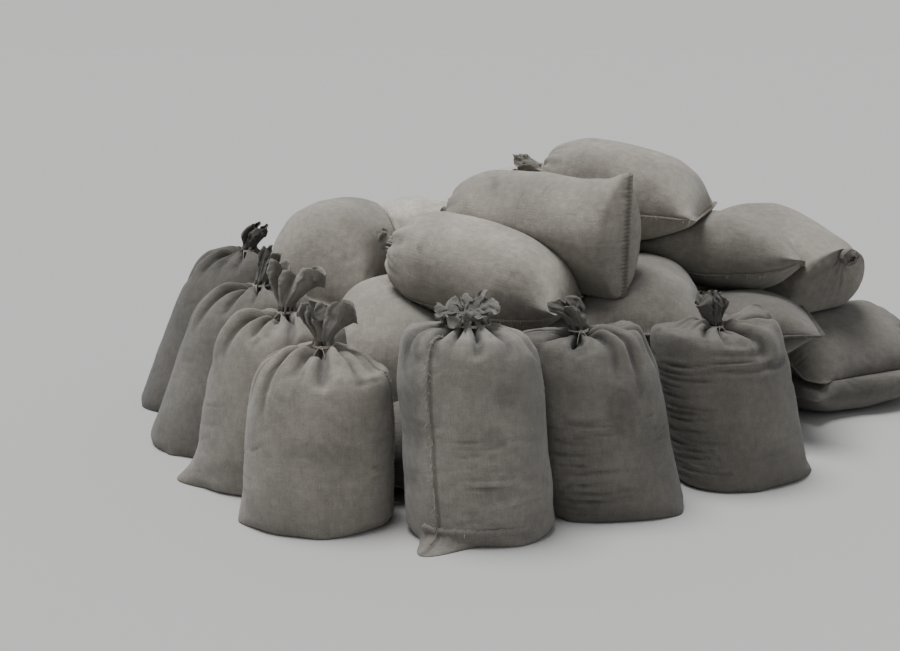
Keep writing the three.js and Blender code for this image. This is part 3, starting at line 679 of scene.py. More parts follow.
def settle(forms, sacks):
    """Lets every sack's cloth settle: Blender's cloth, at the cut lengths, under the pressure of the
    grain and held at the neck and the sewn end. Only how far it moved is kept, and no further than a
    cap (a move m becomes cap tanh(m / cap)), so that each sack stays in its place."""
    scene = bpy.context.scene
    cloths = {name: settling_cloth(sacks[name], form) for name, form in forms.items()}
    for number in range(1, SETTLE_FRAMES + 1):
        scene.frame_set(number)
    graph = bpy.context.evaluated_depsgraph_get()
    moves = {}
    for name, (cloth, rows, columns) in cloths.items():
        settled = cloth.evaluated_get(graph).data
        places = np.zeros(len(settled.vertices) * 3)
        settled.vertices.foreach_get("co", places)
        places = places.reshape(-1, 3)[:rows * columns].reshape(rows, columns, 3)
        points = forms[name]["points"]
        move = places - points[::COARSE, ::COARSE]
        far = np.linalg.norm(move, axis=2, keepdims=True)
        move = move * (MOST_MOVE * np.tanh(far / MOST_MOVE) / np.maximum(far, 1e-9))
        moves[name] = finer(move, points.shape[:2])
    scene.frame_set(1)
    for cloth, *_ in cloths.values():
        mesh = cloth.data
        bpy.data.objects.remove(cloth)
        bpy.data.meshes.remove(mesh)
    return moves


def finer(coarse, shape):
    """A grid of moves brought to a finer grid, by smooth curves along the rows and round the sack
    (each new place is (-a + 9b + 9c - d) / 16 of its four neighbours)."""
    rows, columns = shape
    between = (9 * (coarse + np.roll(coarse, -1, 1)) - np.roll(coarse, 1, 1)
               - np.roll(coarse, -2, 1)) / 16
    wide = np.stack([coarse, between], axis=2).reshape(coarse.shape[0], -1, 3)
    padded = np.concatenate([wide[:1], wide, wide[-1:], wide[-1:]])
    between = (9 * (padded[1:-2] + padded[2:-1]) - padded[:-3] - padded[3:]) / 16
    tall = np.stack([wide, between], axis=1).reshape(-1, wide.shape[1], 3)
    return tall[:rows, :columns]


def sack_body(sack, form, move, planes):
    """The settled bag's grid, and what its finish needs: how deep each point lies in a fold, the
    places round it, the distance along the cloth and the girth."""
    points, cloth, girth = form["points"], form["cloth"], form["girth"]
    normal = outward(points)
    around = np.arange(points.shape[1]) / points.shape[1]
    from_neck = cloth[-1] - cloth
    seed, look, chosen = sack["seed"], sack["look"], sack["folds"]
    folds = np.zeros(points.shape[:2])
    if not sack["hidden"]:
        strength = 1.0 if move is None else SETTLED_FOLDS
        fine = look.get("neck_strength", 1.05 if sack["standing"] else 0.8)
        folds += neck_folds(around, from_neck, girth, seed + 2, chosen, 0 if chosen else 7, 22,
                            strength, fine)
        lines = list(look.get("creases", ()))
        lines += random_creases(seed + 3, look.get("wrinkles", 10), cloth[-1])
        folds += creases(around, cloth, girth, lines)
        if not sack["standing"]:
            folds += look.get("pucker", PLEAT_DEPTH) * seam_puckers(form["x"], cloth, seed + 4)
    points = points + folds[..., None] * normal
    if move is not None:
        move = move * look.get("settled", 1)
        points = points + move
        folds = folds + (move * normal).sum(2)
    return pressed(points, planes), folds, around, cloth, girth


def pulled(first, last, low, high, count, seed, width=0.0035, depth=0.0035, tilt=0.0):
    """Fine wrinkles pulled across a sack, one above the other: from one place round it to another,
    at heights from low to high along the cloth, each a little uneven."""
    random = np.random.default_rng(seed)
    lines = []
    for number in range(count):
        along = mix(low, high, (number + random.uniform(-0.3, 0.3)) / max(count - 1, 1))
        start = first + random.uniform(0, 0.3) * (last - first)
        end = last - random.uniform(0, 0.45) * (last - first)
        lines.append((start, along, end, along + tilt + random.uniform(-0.012, 0.012),
                      width * random.uniform(0.7, 1.4), depth * random.uniform(0.6, 1.3),
                      random.uniform(-0.008, 0.008)))
    return lines


# How light the cloth of each sack is. The dark tones of ground_sack_10 and ground_sack_1 are painted
# shade in the gap between the front sacks where they show.

TONES = dict(
    front_row_sack_1=0.39, front_row_sack_2=0.47, front_row_sack_3=0.74, front_row_sack_4=0.78,
    front_row_sack_5=0.6, front_row_sack_6=0.45, front_row_sack_7=0.55, top_sack=1.0, upper_sack_1=0.95,
    upper_sack_2=1.45, third_layer_sack_2=1.42, third_layer_sack_3=1.14, third_layer_sack_4=0.61,
    third_layer_sack_5=0.68, third_layer_sack_6=1.12, second_layer_sack_3=0.51, second_layer_sack_4=0.57,
    ground_sack_8=0.5, ground_sack_10=0.35, ground_sack_1=0.35, ground_sack_2=0.5,
    second_layer_sack_1=0.98, third_layer_sack_1=0.94,
)

# What each sack shows besides its neck folds. creases are single ones, wrinkles how many random ones
# there are; seams are the places round it where it has a side seam (or where that starts and ends),
# frays how many threads hang from it, sewn whether stitches show over it, rolls the folds laid across
# its foot; stains_and_painted_shade are patches that darken the cloth, some old marks and some painted
# shade where a neighbouring sack or the light's direction leaves it in shadow (place round, distance
# from the twine, half reach round and along, strength); pucker is how deep the pleats of the sewn end
# are, end_stitches whether it shows any, and stitch_tone how light they are; neck_strength and settled
# say how much of the fine neck folds and of the settling there is.

LOOKS = dict(
    front_row_sack_1=dict(creases=pulled(0.55, 0.7, 0.2, 0.5, 6, 11, tilt=0.02), wrinkles=14,
        seams=(0.5,)),
    front_row_sack_2=dict(creases=pulled(0.56, 0.72, 0.1, 0.42, 6, 12, tilt=0.02), wrinkles=14,
        seams=(0.5,), stains_and_painted_shade=((0.66, 0.4, 0.06, 0.03, 0.5),)),
    front_row_sack_3=dict(creases=pulled(0.55, 0.7, 0.05, 0.3, 7, 13, tilt=0.03), wrinkles=14,
        seams=(0.5,), stains_and_painted_shade=((0.62, 0.33, 0.03, 0.09, 0.5),)),
    front_row_sack_4=dict(creases=pulled(0.52, 0.62, 0.12, 0.28, 6, 14) +
        pulled(0.88, 0.98, 0.2, 0.42, 5, 24), wrinkles=16, seams=(0.5, 0.0),
        stains_and_painted_shade=((0.78, 0.42, 0.09, 0.03, 0.35),)),
    front_row_sack_5=dict(creases=pulled(0.645, 0.88, 0.08, 0.36, 18, 15, 0.0034, 0.0056) +
        pulled(0.8, 0.95, 0.05, 0.25, 6, 25, 0.0032, 0.0036), wrinkles=20, seams=(0.64,), frays=190,
        # The first patch of front_row_sack_5 is painted shade on its left side; the other three are
        # faded smudges.
        rolls=((0.6, 0.86, 0.07),), sewn=False, stains_and_painted_shade=((0.565, 0.3, 0.07, 0.34, 1.0),
        (0.83, 0.3, 0.05, 0.035, 0.5), (0.79, 0.42, 0.04, 0.03, 0.5), (0.8, 0.6, 0.07, 0.025, 0.45))),
    front_row_sack_6=dict(creases=pulled(0.54, 0.82, 0.04, 0.36, 17, 16, 0.0042, 0.0058, 0.014) +
        pulled(0.8, 0.95, 0.3, 0.45, 4, 26, tilt=-0.03), wrinkles=16, seams=(0.5,),
        # The second patch of front_row_sack_6 is painted shade on its left side, beside
        # front_row_sack_5.
        stains_and_painted_shade=((0.79, 0.37, 0.05, 0.09, 0.6), (0.53, 0.35, 0.05, 0.4, 0.65))),
    front_row_sack_7=dict(creases=pulled(0.42, 0.67, 0.06, 0.47, 18, 17, 0.0045, 0.006, 0.01) +
        pulled(0.6, 0.9, 0.47, 0.52, 3, 27, 0.008, 0.009), wrinkles=10,
        stains_and_painted_shade=((0.85, 0.27, 0.085, 0.022, 0.8),)),
    upper_sack_1=dict(wrinkles=14, seams=(0.0,), pucker=0.0038, stitch_tone=0.45),
    top_sack=dict(wrinkles=10, seams=((0.5, 0.4),)),
    third_layer_sack_2=dict(wrinkles=8, neck_strength=0.3, settled=0.3),
    third_layer_sack_1=dict(wrinkles=16, pucker=0, end_stitches=False,
        stains_and_painted_shade=((0.7, 0.3, 0.03, 0.012, 0.8), (0.62, 0.24, 0.012, 0.012, 0.9))),
    # The first patch of third_layer_sack_3 is painted shade at its sewn end, under upper_sack_1; the
    # second is an old mark.
    third_layer_sack_3=dict(wrinkles=12, seams=((0.45, 0.35),), stains_and_painted_shade=((0.42, 0.72, 0.2, 0.13, 0.75),
        (0.56, 0.3, 0.016, 0.014, 0.9))),
    third_layer_sack_5=dict(wrinkles=12, seams=((0.46, 0.32),)),
    # Both patches of third_layer_sack_6 are painted shade over its tied end, which faces away from the
    # light.
    third_layer_sack_6=dict(wrinkles=12, neck_strength=0.2, settled=0.3,
        stains_and_painted_shade=((0.2, 0.1, 0.4, 0.26, 0.85), (0.62, 0.04, 0.2, 0.05, 0.75))),
    second_layer_sack_3=dict(wrinkles=12, seams=(0.5,), stitch_tone=1.0),
    second_layer_sack_4=dict(wrinkles=12, seams=(0.0,)),
    ground_sack_8=dict(wrinkles=12),
)


# The gathered mouths as they are seen from in front: their height, and the folds of the rim, each with
# its middle and half width (shares of the mouth's half width, left to right), its height (a share of
# the tuft's), and which side of the mouth it is on: -1 the near side, 1 the far side, 0 both. Then how
# far the tuft closes to a ball, how low the rim is between folds, how crumpled and how shaded the cloth
# is, half its width and depth, how it leans, and how far up it opens.

MOUTHS = dict(
    front_row_sack_1=dict(height=0.112, folds=((-0.62, 0.36, 1.0, 0), (0.36, 0.62, 0.82, -1),
        (0.45, 0.5, 0.95, 1)), closing=0.42, valley=0.35, crumple=0.006, shade=0.85, half=(0.058, 0.05),
        lean=(0.1, -0.06)),
    front_row_sack_2=dict(height=0.142, folds=((-0.75, 0.3, 1.0, 0), (-0.2, 0.35, 0.9, -1),
        (0.5, 0.5, 0.86, -1), (0.2, 0.7, 0.8, 1)), closing=0, valley=0.6, crumple=0.003, shade=0.35,
        half=(0.046, 0.034), lean=(0, 0.03)),
    front_row_sack_3=dict(height=0.175, folds=((-0.76, 0.27, 1.0, -1), (-0.24, 0.29, 0.8, -1),
        (0.52, 0.52, 0.86, -1), (-0.7, 0.3, 0.9, 1), (0.45, 0.5, 0.8, 1)), closing=0, valley=0.42,
        crumple=0.003, shade=0.12, half=(0.112, 0.05), lean=(0.14, 0.05)),
    front_row_sack_4=dict(height=0.14, folds=((-0.86, 0.15, 0.95, -1), (-0.6, 0.17, 0.9, -1),
        (-0.3, 0.2, 0.58, -1), (0.46, 0.56, 1.0, -1), (-0.35, 0.3, 0.84, 1), (0.5, 0.5, 0.92, 1),
        (-0.85, 0.2, 0.85, 1)), closing=0, valley=0.34, crumple=0.003, shade=0.75, half=(0.096, 0.046),
        lean=(0.08, 0)),
    front_row_sack_5=dict(height=0.082, folds=((-0.85, 0.22, 0.12, -1), (-0.5, 0.2, -0.02, -1),
        (-0.12, 0.22, 0.1, -1), (0.34, 0.3, 0.2, -1), (0.8, 0.26, 0.4, -1), (-0.8, 0.2, 0.5, 1),
        (-0.42, 0.22, 0.7, 1), (0.0, 0.24, 0.76, 1), (0.48, 0.32, 1.02, 1), (0.85, 0.16, 0.8, 1)),
        closing=0, valley=-0.12, crumple=0.006, shade=0.75, half=(0.1, 0.078), lean=(0.05, 0),
        opening=0.5),
    front_row_sack_6=dict(height=0.098, folds=((-0.75, 0.5, 0.6, -1), (0.1, 0.6, 0.78, -1),
        (0.66, 0.5, 1.06, 1), (-0.5, 0.9, 0.86, 1)), closing=0, valley=0.28, crumple=0.0035, shade=0.0,
        half=(0.056, 0.05), lean=(-0.3, -0.05)),
    front_row_sack_7=dict(height=0.118, folds=((-0.7, 0.3, 0.9, -1), (-0.25, 0.26, 1.0, -1),
        (0.2, 0.26, 0.96, -1), (0.66, 0.3, 0.86, -1), (-0.4, 0.4, 1, 1), (0.4, 0.4, 0.95, 1)),
        closing=0.5, valley=0.72, crumple=0.006, shade=0.8, half=(0.064, 0.055), lean=(0.06, 0)),
    top_sack=dict(folds=((-0.6, 0.4, 1, 0), (0.2, 0.4, 0.85, 0), (0.75, 0.3, 0.95, 0)), closing=0.1,
        valley=0.6, crumple=0.005, shade=0.8, height=0.12, half=(0.05, 0.05), lean=(0, 0)),
    third_layer_sack_3=dict(folds=((-0.5, 0.5, 1, 0), (0.5, 0.5, 0.9, 0)), closing=0.4, valley=0.6,
        crumple=0.004, shade=1.0, height=0.05, half=(0.038, 0.034), lean=(0, -0.7)),
    third_layer_sack_6=dict(folds=((-0.5, 0.5, 0.8, 0), (0.4, 0.5, 0.7, 0)), closing=0.6, valley=0.6,
        crumple=0.006, shade=0.8, height=0.05, half=(0.04, 0.034), lean=(0, 0)),
)
PLAIN_MOUTH = dict(folds=((-0.6, 0.4, 0.9, 0), (0.05, 0.35, 1.1, 0), (0.7, 0.35, 0.95, 0)), closing=0.25,
    valley=0.5, crumple=0.004, shade=0.4, height=0.06, half=(0.048, 0.038), lean=(0.1, 0))


def sack_tuft(sack, columns):
    """The gathered cloth above the tie, and its painted shade and painted highlight at each point.

    Looking along the neck, the tied ring opens upwards into a flat fan: a point at the angle a of the
    ring moves to half_width cos a sideways. The rim's height there is the highest of its folds, each
    high = valley + (height - valley) (1 - |d|^2.6)^0.42 with d the sideways distance from its middle
    over its half width, and the cloth stands out towards the viewer by (1 - d^2) of the half depth.
    Pleats run from the neck to the rim, waves in space crumple both sides alike, and past the rim the
    cloth goes back down inside."""
    along, across, through, _ = sack_axes(sack)
    random = np.random.default_rng(900 + sack["number"])
    mouth = MOUTHS.get(sack["name"], PLAIN_MOUTH)
    height = mouth["height"]
    rows = sack["grid"][2]
    angle = np.arange(columns) / columns * FULL_TURN
    sideways, facing = np.cos(angle), np.sin(angle)
    outer = np.linspace(0, 1, rows)[1:]
    inner = np.linspace(1, 0.3, max(5, rows // 3))
    rise = np.concatenate([outer, inner])
    inside = np.concatenate([np.zeros(len(outer)), np.linspace(0.06, 1, len(inner))])
    flare = np.sin(np.clip((rise - 0.06) / mouth.get("opening", 0.86), 0, 1) * math.pi / 2) ** 1.15
    top = np.full(columns, float(mouth["valley"]))
    stand = np.zeros(columns)
    for middle, half_width, high, side in mouth["folds"]:
        here = np.ones(columns) if side == 0 else smoothstep(-0.25, 0.25, facing * side)
        apart = np.abs((sideways - middle) / half_width)
        rounded = np.clip(1 - apart ** 2.6, 0, 1) ** 0.42
        top = np.maximum(top, mouth["valley"] + (high - mouth["valley"]) * rounded * here)
        stand = np.maximum(stand, np.clip(1 - apart ** 2, 0, 1) * here)
    smooth = np.array([0.25, 0.5, 0.25])
    top, stand = (np.convolve(np.concatenate([part[-1:], part, part[:1]]), smooth, "valid")
                  for part in (top, stand))
    pleats = sum(amount * np.cos(wave * sideways + random.uniform(0, FULL_TURN))
                 for wave, amount in ((9, 0.2), (16, 0.17), (27, 0.1)))
    pleats = pleats[None] * (np.sin(np.clip(rise, 0, 1) * math.pi) ** 0.6)[:, None]
    shrink = (1 - mouth["closing"] * smoothstep(0.6, 1.08, rise))[:, None]
    half_wide, half_deep = mouth["half"]
    thick = (0.22 + 0.78 * stand) * np.sqrt(np.clip(1 - sideways ** 6, 0, 1))
    end = np.sign(facing) * thick
    wall = (CLOTH * smoothstep(0, 0.12, inside))[:, None]
    narrowing = (1 - 0.8 * inside ** 1.4)[:, None]
    x = mix(sack["neck_half"][0] * sideways[None], half_wide * sideways[None] * shrink, flare[:, None])
    y = mix(sack["neck_half"][1] * facing[None], half_deep * end[None] * shrink, flare[:, None])
    y = y + np.sign(facing) * pleats * 0.011 * mix(0.7, 1.0, flare[:, None])
    x = x * narrowing - np.sign(x) * np.minimum(wall, np.abs(x) * 0.5)
    y = np.sign(facing) * np.maximum(np.sign(facing) * y * narrowing - wall, 0.0012 * np.abs(facing))
    lift = rise[:, None] * mix(1.0, top[None], (flare * rise ** 1.2)[:, None])
    base = sack["neck"] + sack["lift"] * UP + along * NECK_LENGTH / 2
    lean = (rise ** 1.6 * height)[:, None]
    points = (base + (lift * (height - NECK_LENGTH / 4))[..., None] * along
              + (x + mouth["lean"][0] * lean)[..., None] * across
              + (y + mouth["lean"][1] * lean)[..., None] * through)
    free = smoothstep(0.08, 0.6, rise)[:, None, None] * mouth["crumple"]
    seed = 500 + sack["number"] * 9
    crumple = np.stack([lumps(points, seed + axis, 0.05) + 0.5 * lumps(points, seed + 4 + axis, 0.02)
                        for axis in range(3)], axis=-1)
    shade = np.clip(mouth["shade"] - 0.25 * pleats + 0.5 * (1 - stand[None]) * flare[:, None], 0, 1)
    shade = np.where(inside[:, None] > 0.1, 1, shade)
    # Painted highlight along the tuft's outer rim.
    painted_highlight = (smoothstep(0.86, 0.97, rise) * (inside < 0.2))[:, None] * np.ones(columns)
    return points + free * crumple, shade, painted_highlight


def grid_faces(rows, columns, start, end):
    """Four-cornered faces of a grid that closes round, then its two ends: a fan to a pole, whose
    vertex comes after the grid's, a strip that zips a flat start shut, or one face on the last ring."""
    row, column = np.meshgrid(np.arange(rows - 1), np.arange(columns), indexing="ij")
    following = (column + 1) % columns
    quads = np.stack([row * columns + column, row * columns + following,
                      (row + 1) * columns + following, (row + 1) * columns + column], axis=-1)
    faces = quads.reshape(-1, 4).tolist()
    ring = np.arange(columns)
    extra = rows * columns
    if start == "pole":
        faces += np.stack([np.full(columns, extra), np.roll(ring, -1), ring], axis=1).tolist()
        extra += 1
    elif start == "zip":
        half = columns // 2
        side = np.arange(1, half - 1)
        faces += np.stack([columns - side, columns - side - 1, side + 1, side], axis=1).tolist()
        faces += [[0, columns - 1, 1], [half, half - 1, half + 1]]
    else:
        faces += [ring[::-1].tolist()]
    last = ring + (rows - 1) * columns
    if end == "pole":
        faces += np.stack([np.full(columns, extra), last, np.roll(last, -1)], axis=1).tolist()
    else:
        faces += [last.tolist()]
    return faces


def stains_and_painted_shade(sack, grid, cloth, around, width):
    """How far old marks and patches of painted shade darken the cloth: round each place, at a distance
    from the twine, a soft patch whose edge is broken up by slow waves."""
    total = np.zeros(grid.shape[:2])
    from_neck = (cloth[-1] - cloth)[:, None]
    for number, (place, distance, half_round, half_along, strength) in enumerate(
            sack["look"].get("stains_and_painted_shade", ())):
        apart = wrapped(around - place)[None] * width
        far = (apart / half_round) ** 2 + ((from_neck - distance) / half_along) ** 2
        broken = lumps(grid, 60 + number, 0.035)
        patch = smoothstep(1.5, 0.5, far + 0.3 * broken) * (0.85 + 0.15 * broken)
        total = np.maximum(total, strength * patch)
    return total


def with_hem(sack, body, folds, cloth):
    """A lying sack's grid with the rows of its folded hem put before it."""
    out = HEM * np.array(HEM_ROWS)
    hem = body[0] - out[:, None, None] * sack_axes(sack)[0]
    return (np.concatenate([hem, body]), np.concatenate([np.zeros((len(out), body.shape[1])), folds]),
            np.concatenate([cloth[0] - out, cloth]))


def lay_cloth(mesh, columns, rows, width, cloth):
    """The weave's own measure on the mesh: metres round the sack and metres along the cloth."""
    lay = np.zeros((len(mesh.loops), 2), np.float32)
    corners = np.zeros(len(mesh.loops), np.int32)
    mesh.loops.foreach_get("vertex_index", corners)
    inside = corners < rows * columns
    place = np.where(inside, corners, 0)
    lay[:, 0] = (np.arange(columns) / columns * width)[place % columns]
    lay[:, 1] = np.where(inside, cloth[place // columns], 0)
    wrap = np.arange((rows - 1) * columns).reshape(rows - 1, columns)[:, -1] * 4
    for corner in (1, 2):
        lay[wrap + corner, 0] = width
    mesh.uv_layers.new(name="cloth").data.foreach_set("uv", lay.ravel())


def make_sack(sack, form, move, planes, materials):
    """One sack: its body grid and the gathered mouth above it in one closed cloth surface, marked with
    how dark each point is (painted shade in folds and inside the mouth, stains, patches of painted
    shade and a painted shadow line beside a seam), its painted highlight on crests and rims, and how
    light its cloth is."""
    columns = sack["grid"][0]
    body, folds, around, cloth, girth = sack_body(sack, form, move, planes)
    tuft, shade, painted_highlight = sack_tuft(sack, columns)
    if not sack["standing"]:
        body, folds, cloth = with_hem(sack, body, folds, cloth)
    grid = np.concatenate([body, tuft])
    rows, body_cloth = len(grid), cloth
    step = np.linalg.norm(np.diff(tuft, axis=0, prepend=body[-1:]), axis=2).mean(1)
    cloth = np.concatenate([cloth, cloth[-1] + np.cumsum(step)])
    poles = [grid[0].mean(0)] if sack["standing"] else []
    poles.append(grid[-1].mean(0))
    vertices = np.concatenate([grid.reshape(-1, 3), np.array(poles)])
    faces = grid_faces(rows, columns, "pole" if sack["standing"] else "zip", "pole")
    width = girth.max()
    # Painted shade: the deeper a fold, the darker its cloth.
    dark = np.clip(-folds / DEEP_FOLD, 0, 1)
    # A painted shadow line beside each side seam.
    for place in sack["look"].get("seams", ()):
        course = mix(*seam_ends(place), body_cloth[:, None] / body_cloth[-1])
        beside = wrapped(around[None] - course - SEAM_SHADOW) * columns
        dark = np.maximum(dark, np.clip(1.25 - np.abs(beside), 0, 1))
    if not sack["hidden"]:
        dark = np.maximum(dark, stains_and_painted_shade(sack, body, body_cloth, around, width))
    # Painted highlight: crests lighter the higher they stand, and the tuft's outer rims.
    marks = dict(fold=np.concatenate([dark, shade]).ravel(),
                 painted_highlight=np.concatenate([np.clip(folds / HIGH_FOLD, 0, 0.5), painted_highlight]).ravel(),
                 tone=np.full(rows * columns, sack["tone"]))
    marks = {mark: np.concatenate([values, values[:len(poles)]]) for mark, values in marks.items()}
    piece = new_piece(f"{sack['name']}_cloth", vertices, faces, materials[sack["slot"]], marks)
    lay_cloth(piece.data, columns, rows, width, cloth)
    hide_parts(sack["name"])
    if not sack["hidden"]:
        make_seams(sack, body, body_cloth, materials)


# Seams

def on_cloth(grid, cloth, place, along):
    """Points and outward normals on a sack's grid at places round it and distances along its cloth."""
    columns = grid.shape[1]
    normal = outward(grid)
    row = np.interp(along, cloth, np.arange(len(cloth)))
    column = (np.asarray(place) % 1) * columns
    low_row = np.clip(np.floor(row).astype(int), 0, len(cloth) - 2)
    low_column = np.floor(column).astype(int) % columns
    next_column = (low_column + 1) % columns
    a, b = (row - low_row)[:, None], (column - np.floor(column))[:, None]

    def blend(values):
        near = mix(values[low_row, low_column], values[low_row, next_column], b)
        far = mix(values[low_row + 1, low_column], values[low_row + 1, next_column], b)
        return mix(near, far, a)
    normals = blend(normal)
    return blend(grid), normals / np.linalg.norm(normals, axis=1, keepdims=True)


def seam_ends(place):
    """Where a side seam starts and ends round the sack; a single place is both."""
    return place if isinstance(place, tuple) else (place, place)


def course_of(path):
    """How far along a path each of its points is, and its unit direction there."""
    run = np.concatenate([[0], np.cumsum(np.linalg.norm(np.diff(path, axis=0), axis=1))])
    along = np.gradient(path, axis=0)
    return run, along / np.linalg.norm(along, axis=1, keepdims=True)


def welt(path, normal, half_width, height, seed, pitch):
    """A felled seam along a path: a band whose section is half an ellipse, w cos t across and h sin t
    out, drawn in at every stitch and a little uneven. It sinks into the cloth underneath."""
    random = np.random.default_rng(seed)
    run, along = course_of(path)
    side = np.cross(normal, along)
    side /= np.linalg.norm(side, axis=1, keepdims=True)
    angle = np.linspace(0, FULL_TURN, WELT_SIDES, endpoint=False)
    lift = np.where(np.sin(angle) > 0, np.sin(angle), 0.45 * np.sin(angle))
    drawn = 0.72 + 0.28 * np.abs(np.sin(math.pi * run / pitch)) ** 0.7
    uneven = sum(np.sin(run * wave + random.uniform(0, FULL_TURN)) for wave in (55, 130, 310)) / 3
    ends = np.sqrt(np.clip(np.minimum(run, run[-1] - run) / 0.01, 0.02, 1))
    wide = half_width * (1 + 0.18 * uneven) * mix(1, drawn, 0.4) * ends
    high = height * drawn * (1 + 0.2 * uneven) * ends
    middle = path + (0.25 * half_width * uneven)[:, None] * side
    rings = (middle[:, None] + (wide[:, None] * np.cos(angle))[..., None] * side[:, None]
             + (high[:, None] * lift)[..., None] * normal[:, None])
    vertices = np.concatenate([rings.reshape(-1, 3), rings[:1].mean(1), rings[-1:].mean(1)])
    return vertices, grid_faces(len(rings), WELT_SIDES, "pole", "pole")


def stitches(path, normal, seed):
    """A slanting stitch of twine over a seam at every step of the pitch: straight across, and out by
    the seam's height times sin^0.6 of the share of the way."""
    random = np.random.default_rng(seed)
    run, along = course_of(path)
    parts = []
    for place in np.arange(STITCH_PITCH, run[-1] - STITCH_PITCH / 2, STITCH_PITCH):
        at = place + random.normal(0, 0.0006)
        middle, out, forward = (np.array([np.interp(at, run, values[:, axis]) for axis in range(3)])
                                for values in (path, normal, along))
        side = unit(np.cross(out, forward))
        share = np.linspace(0, 1, 6)[:, None]
        thread = (middle + side * (share * 2 - 1) * SEAM_HALF * 1.25 + forward * (share - 0.5) * 0.006
                  + out * (SEAM_HEIGHT * 1.15 * np.sin(share * math.pi) ** 0.6 - 0.0004))
        parts.append(tube(thread, STITCH_RADIUS, 5))
    return parts


def loose_threads(path, normal, count, seed):
    """Frayed threads that stand out of a path and droop: each leaves along a random direction near
    the normal, and bends down by the square of its length."""
    random = np.random.default_rng(seed)
    parts = []
    for pick in random.integers(1, len(path) - 1, count):
        way = unit(normal[pick] * random.uniform(0.3, 1) + random.normal(0, 0.7, 3))
        size = random.uniform(*FRAY_LENGTHS)
        share = np.linspace(0, 1, 5)[:, None]
        curl = unit(random.normal(0, 1, 3))
        thread = (path[pick] - normal[pick] * 0.001 + way * size * share
                  + (curl * size * 0.35 - UP * size * 0.4) * share ** 2)
        parts.append(tube(thread, FRAY_THICK * random.uniform(0.8, 1.4), 4))
    return parts


def make_seams(sack, grid, cloth, materials):
    """The long seams of a sack, the stitches over its sewn end, and the threads that fray there."""
    look = sack["look"]
    seed = 700 + sack["number"] * 5
    parts, threads = [], []
    first = 0.03 if sack["standing"] else 0.0
    for place in look.get("seams", ()):
        along = np.arange(first, cloth[-1] - 0.05, SEAM_STEP)
        path, normal = on_cloth(grid, cloth, mix(*seam_ends(place), along / cloth[-1]), along)
        parts.append(welt(path, normal, SEAM_HALF, SEAM_HEIGHT, seed, STITCH_PITCH))
        if look.get("sewn", True):
            threads += stitches(path, normal, seed + 1)
        threads += loose_threads(path, normal, look.get("frays", 40), seed + 2)
    for first_place, last_place, height in look.get("rolls", ()):
        place = np.linspace(first_place, last_place, 110)
        path, normal = on_cloth(grid, cloth, place, np.full(len(place), height))
        parts.append(welt(path, normal, *ROLL, seed + 4, ROLL_PITCH))
        threads += loose_threads(path, normal, 30, seed + 5)
    if not sack["standing"] and look.get("end_stitches", True):
        threads += end_stitches(grid, seed + 3)
    for kind, made, light in (("seam", parts, 0.9), ("stitches", threads, look.get("stitch_tone", 1.2))):
        if made:
            piece = joined_piece(f"{sack['name']}_{kind}", made, materials[sack["slot"]],
                                 light * sack["tone"])


def end_stitches(grid, seed):
    """Overcast stitches along the sewn end: each goes from the cloth on one side round the folded hem
    to the cloth on the other."""
    random = np.random.default_rng(seed)
    columns = grid.shape[1]
    half = columns // 2
    normal = outward(grid)
    width = np.linalg.norm(grid[3, 0] - grid[3, half])
    parts = []
    for place in np.linspace(0.03, 0.97, int(width / END_STITCH_PITCH)):
        column = place * half
        slant = np.linspace(0, half * 0.006 / width, 12)
        picks = np.concatenate([column + slant[:6], (columns - column - slant[6:]) % columns])
        rows = np.concatenate([np.arange(5, -1, -1), np.arange(6)])
        low = np.floor(picks).astype(int) % columns
        share = (picks - np.floor(picks))[:, None]
        spots = mix(grid[rows, low], grid[rows, (low + 1) % columns], share)
        out = mix(normal[rows, low], normal[rows, (low + 1) % columns], share)
        spots = spots + out * STITCH_RADIUS * random.uniform(0.8, 1.2)
        parts.append(tube(spots, STITCH_RADIUS, 5))
    return parts


# Twine

def tube(path, radius, sides=8, twist=0.0):
    """A cord round a path: at each step a ring of the given radius, whose two strands show as a
    ripple that turns along it. Returns its vertices and faces."""
    run, direction = course_of(path)
    helper = UP if abs(direction[:, 2]).mean() < 0.8 else np.array([1.0, 0, 0])
    side = np.cross(direction, helper)
    side /= np.linalg.norm(side, axis=1, keepdims=True)
    other = np.cross(direction, side)
    angle = np.arange(sides) / sides * FULL_TURN
    reach = radius * (1 + 0.14 * np.cos(2 * angle[None] - twist * run[:, None]))
    rings = (path[:, None] + (reach * np.cos(angle))[..., None] * side[:, None]
             + (reach * np.sin(angle))[..., None] * other[:, None])
    return rings.reshape(-1, 3), grid_faces(len(path), sides, "face", "face")


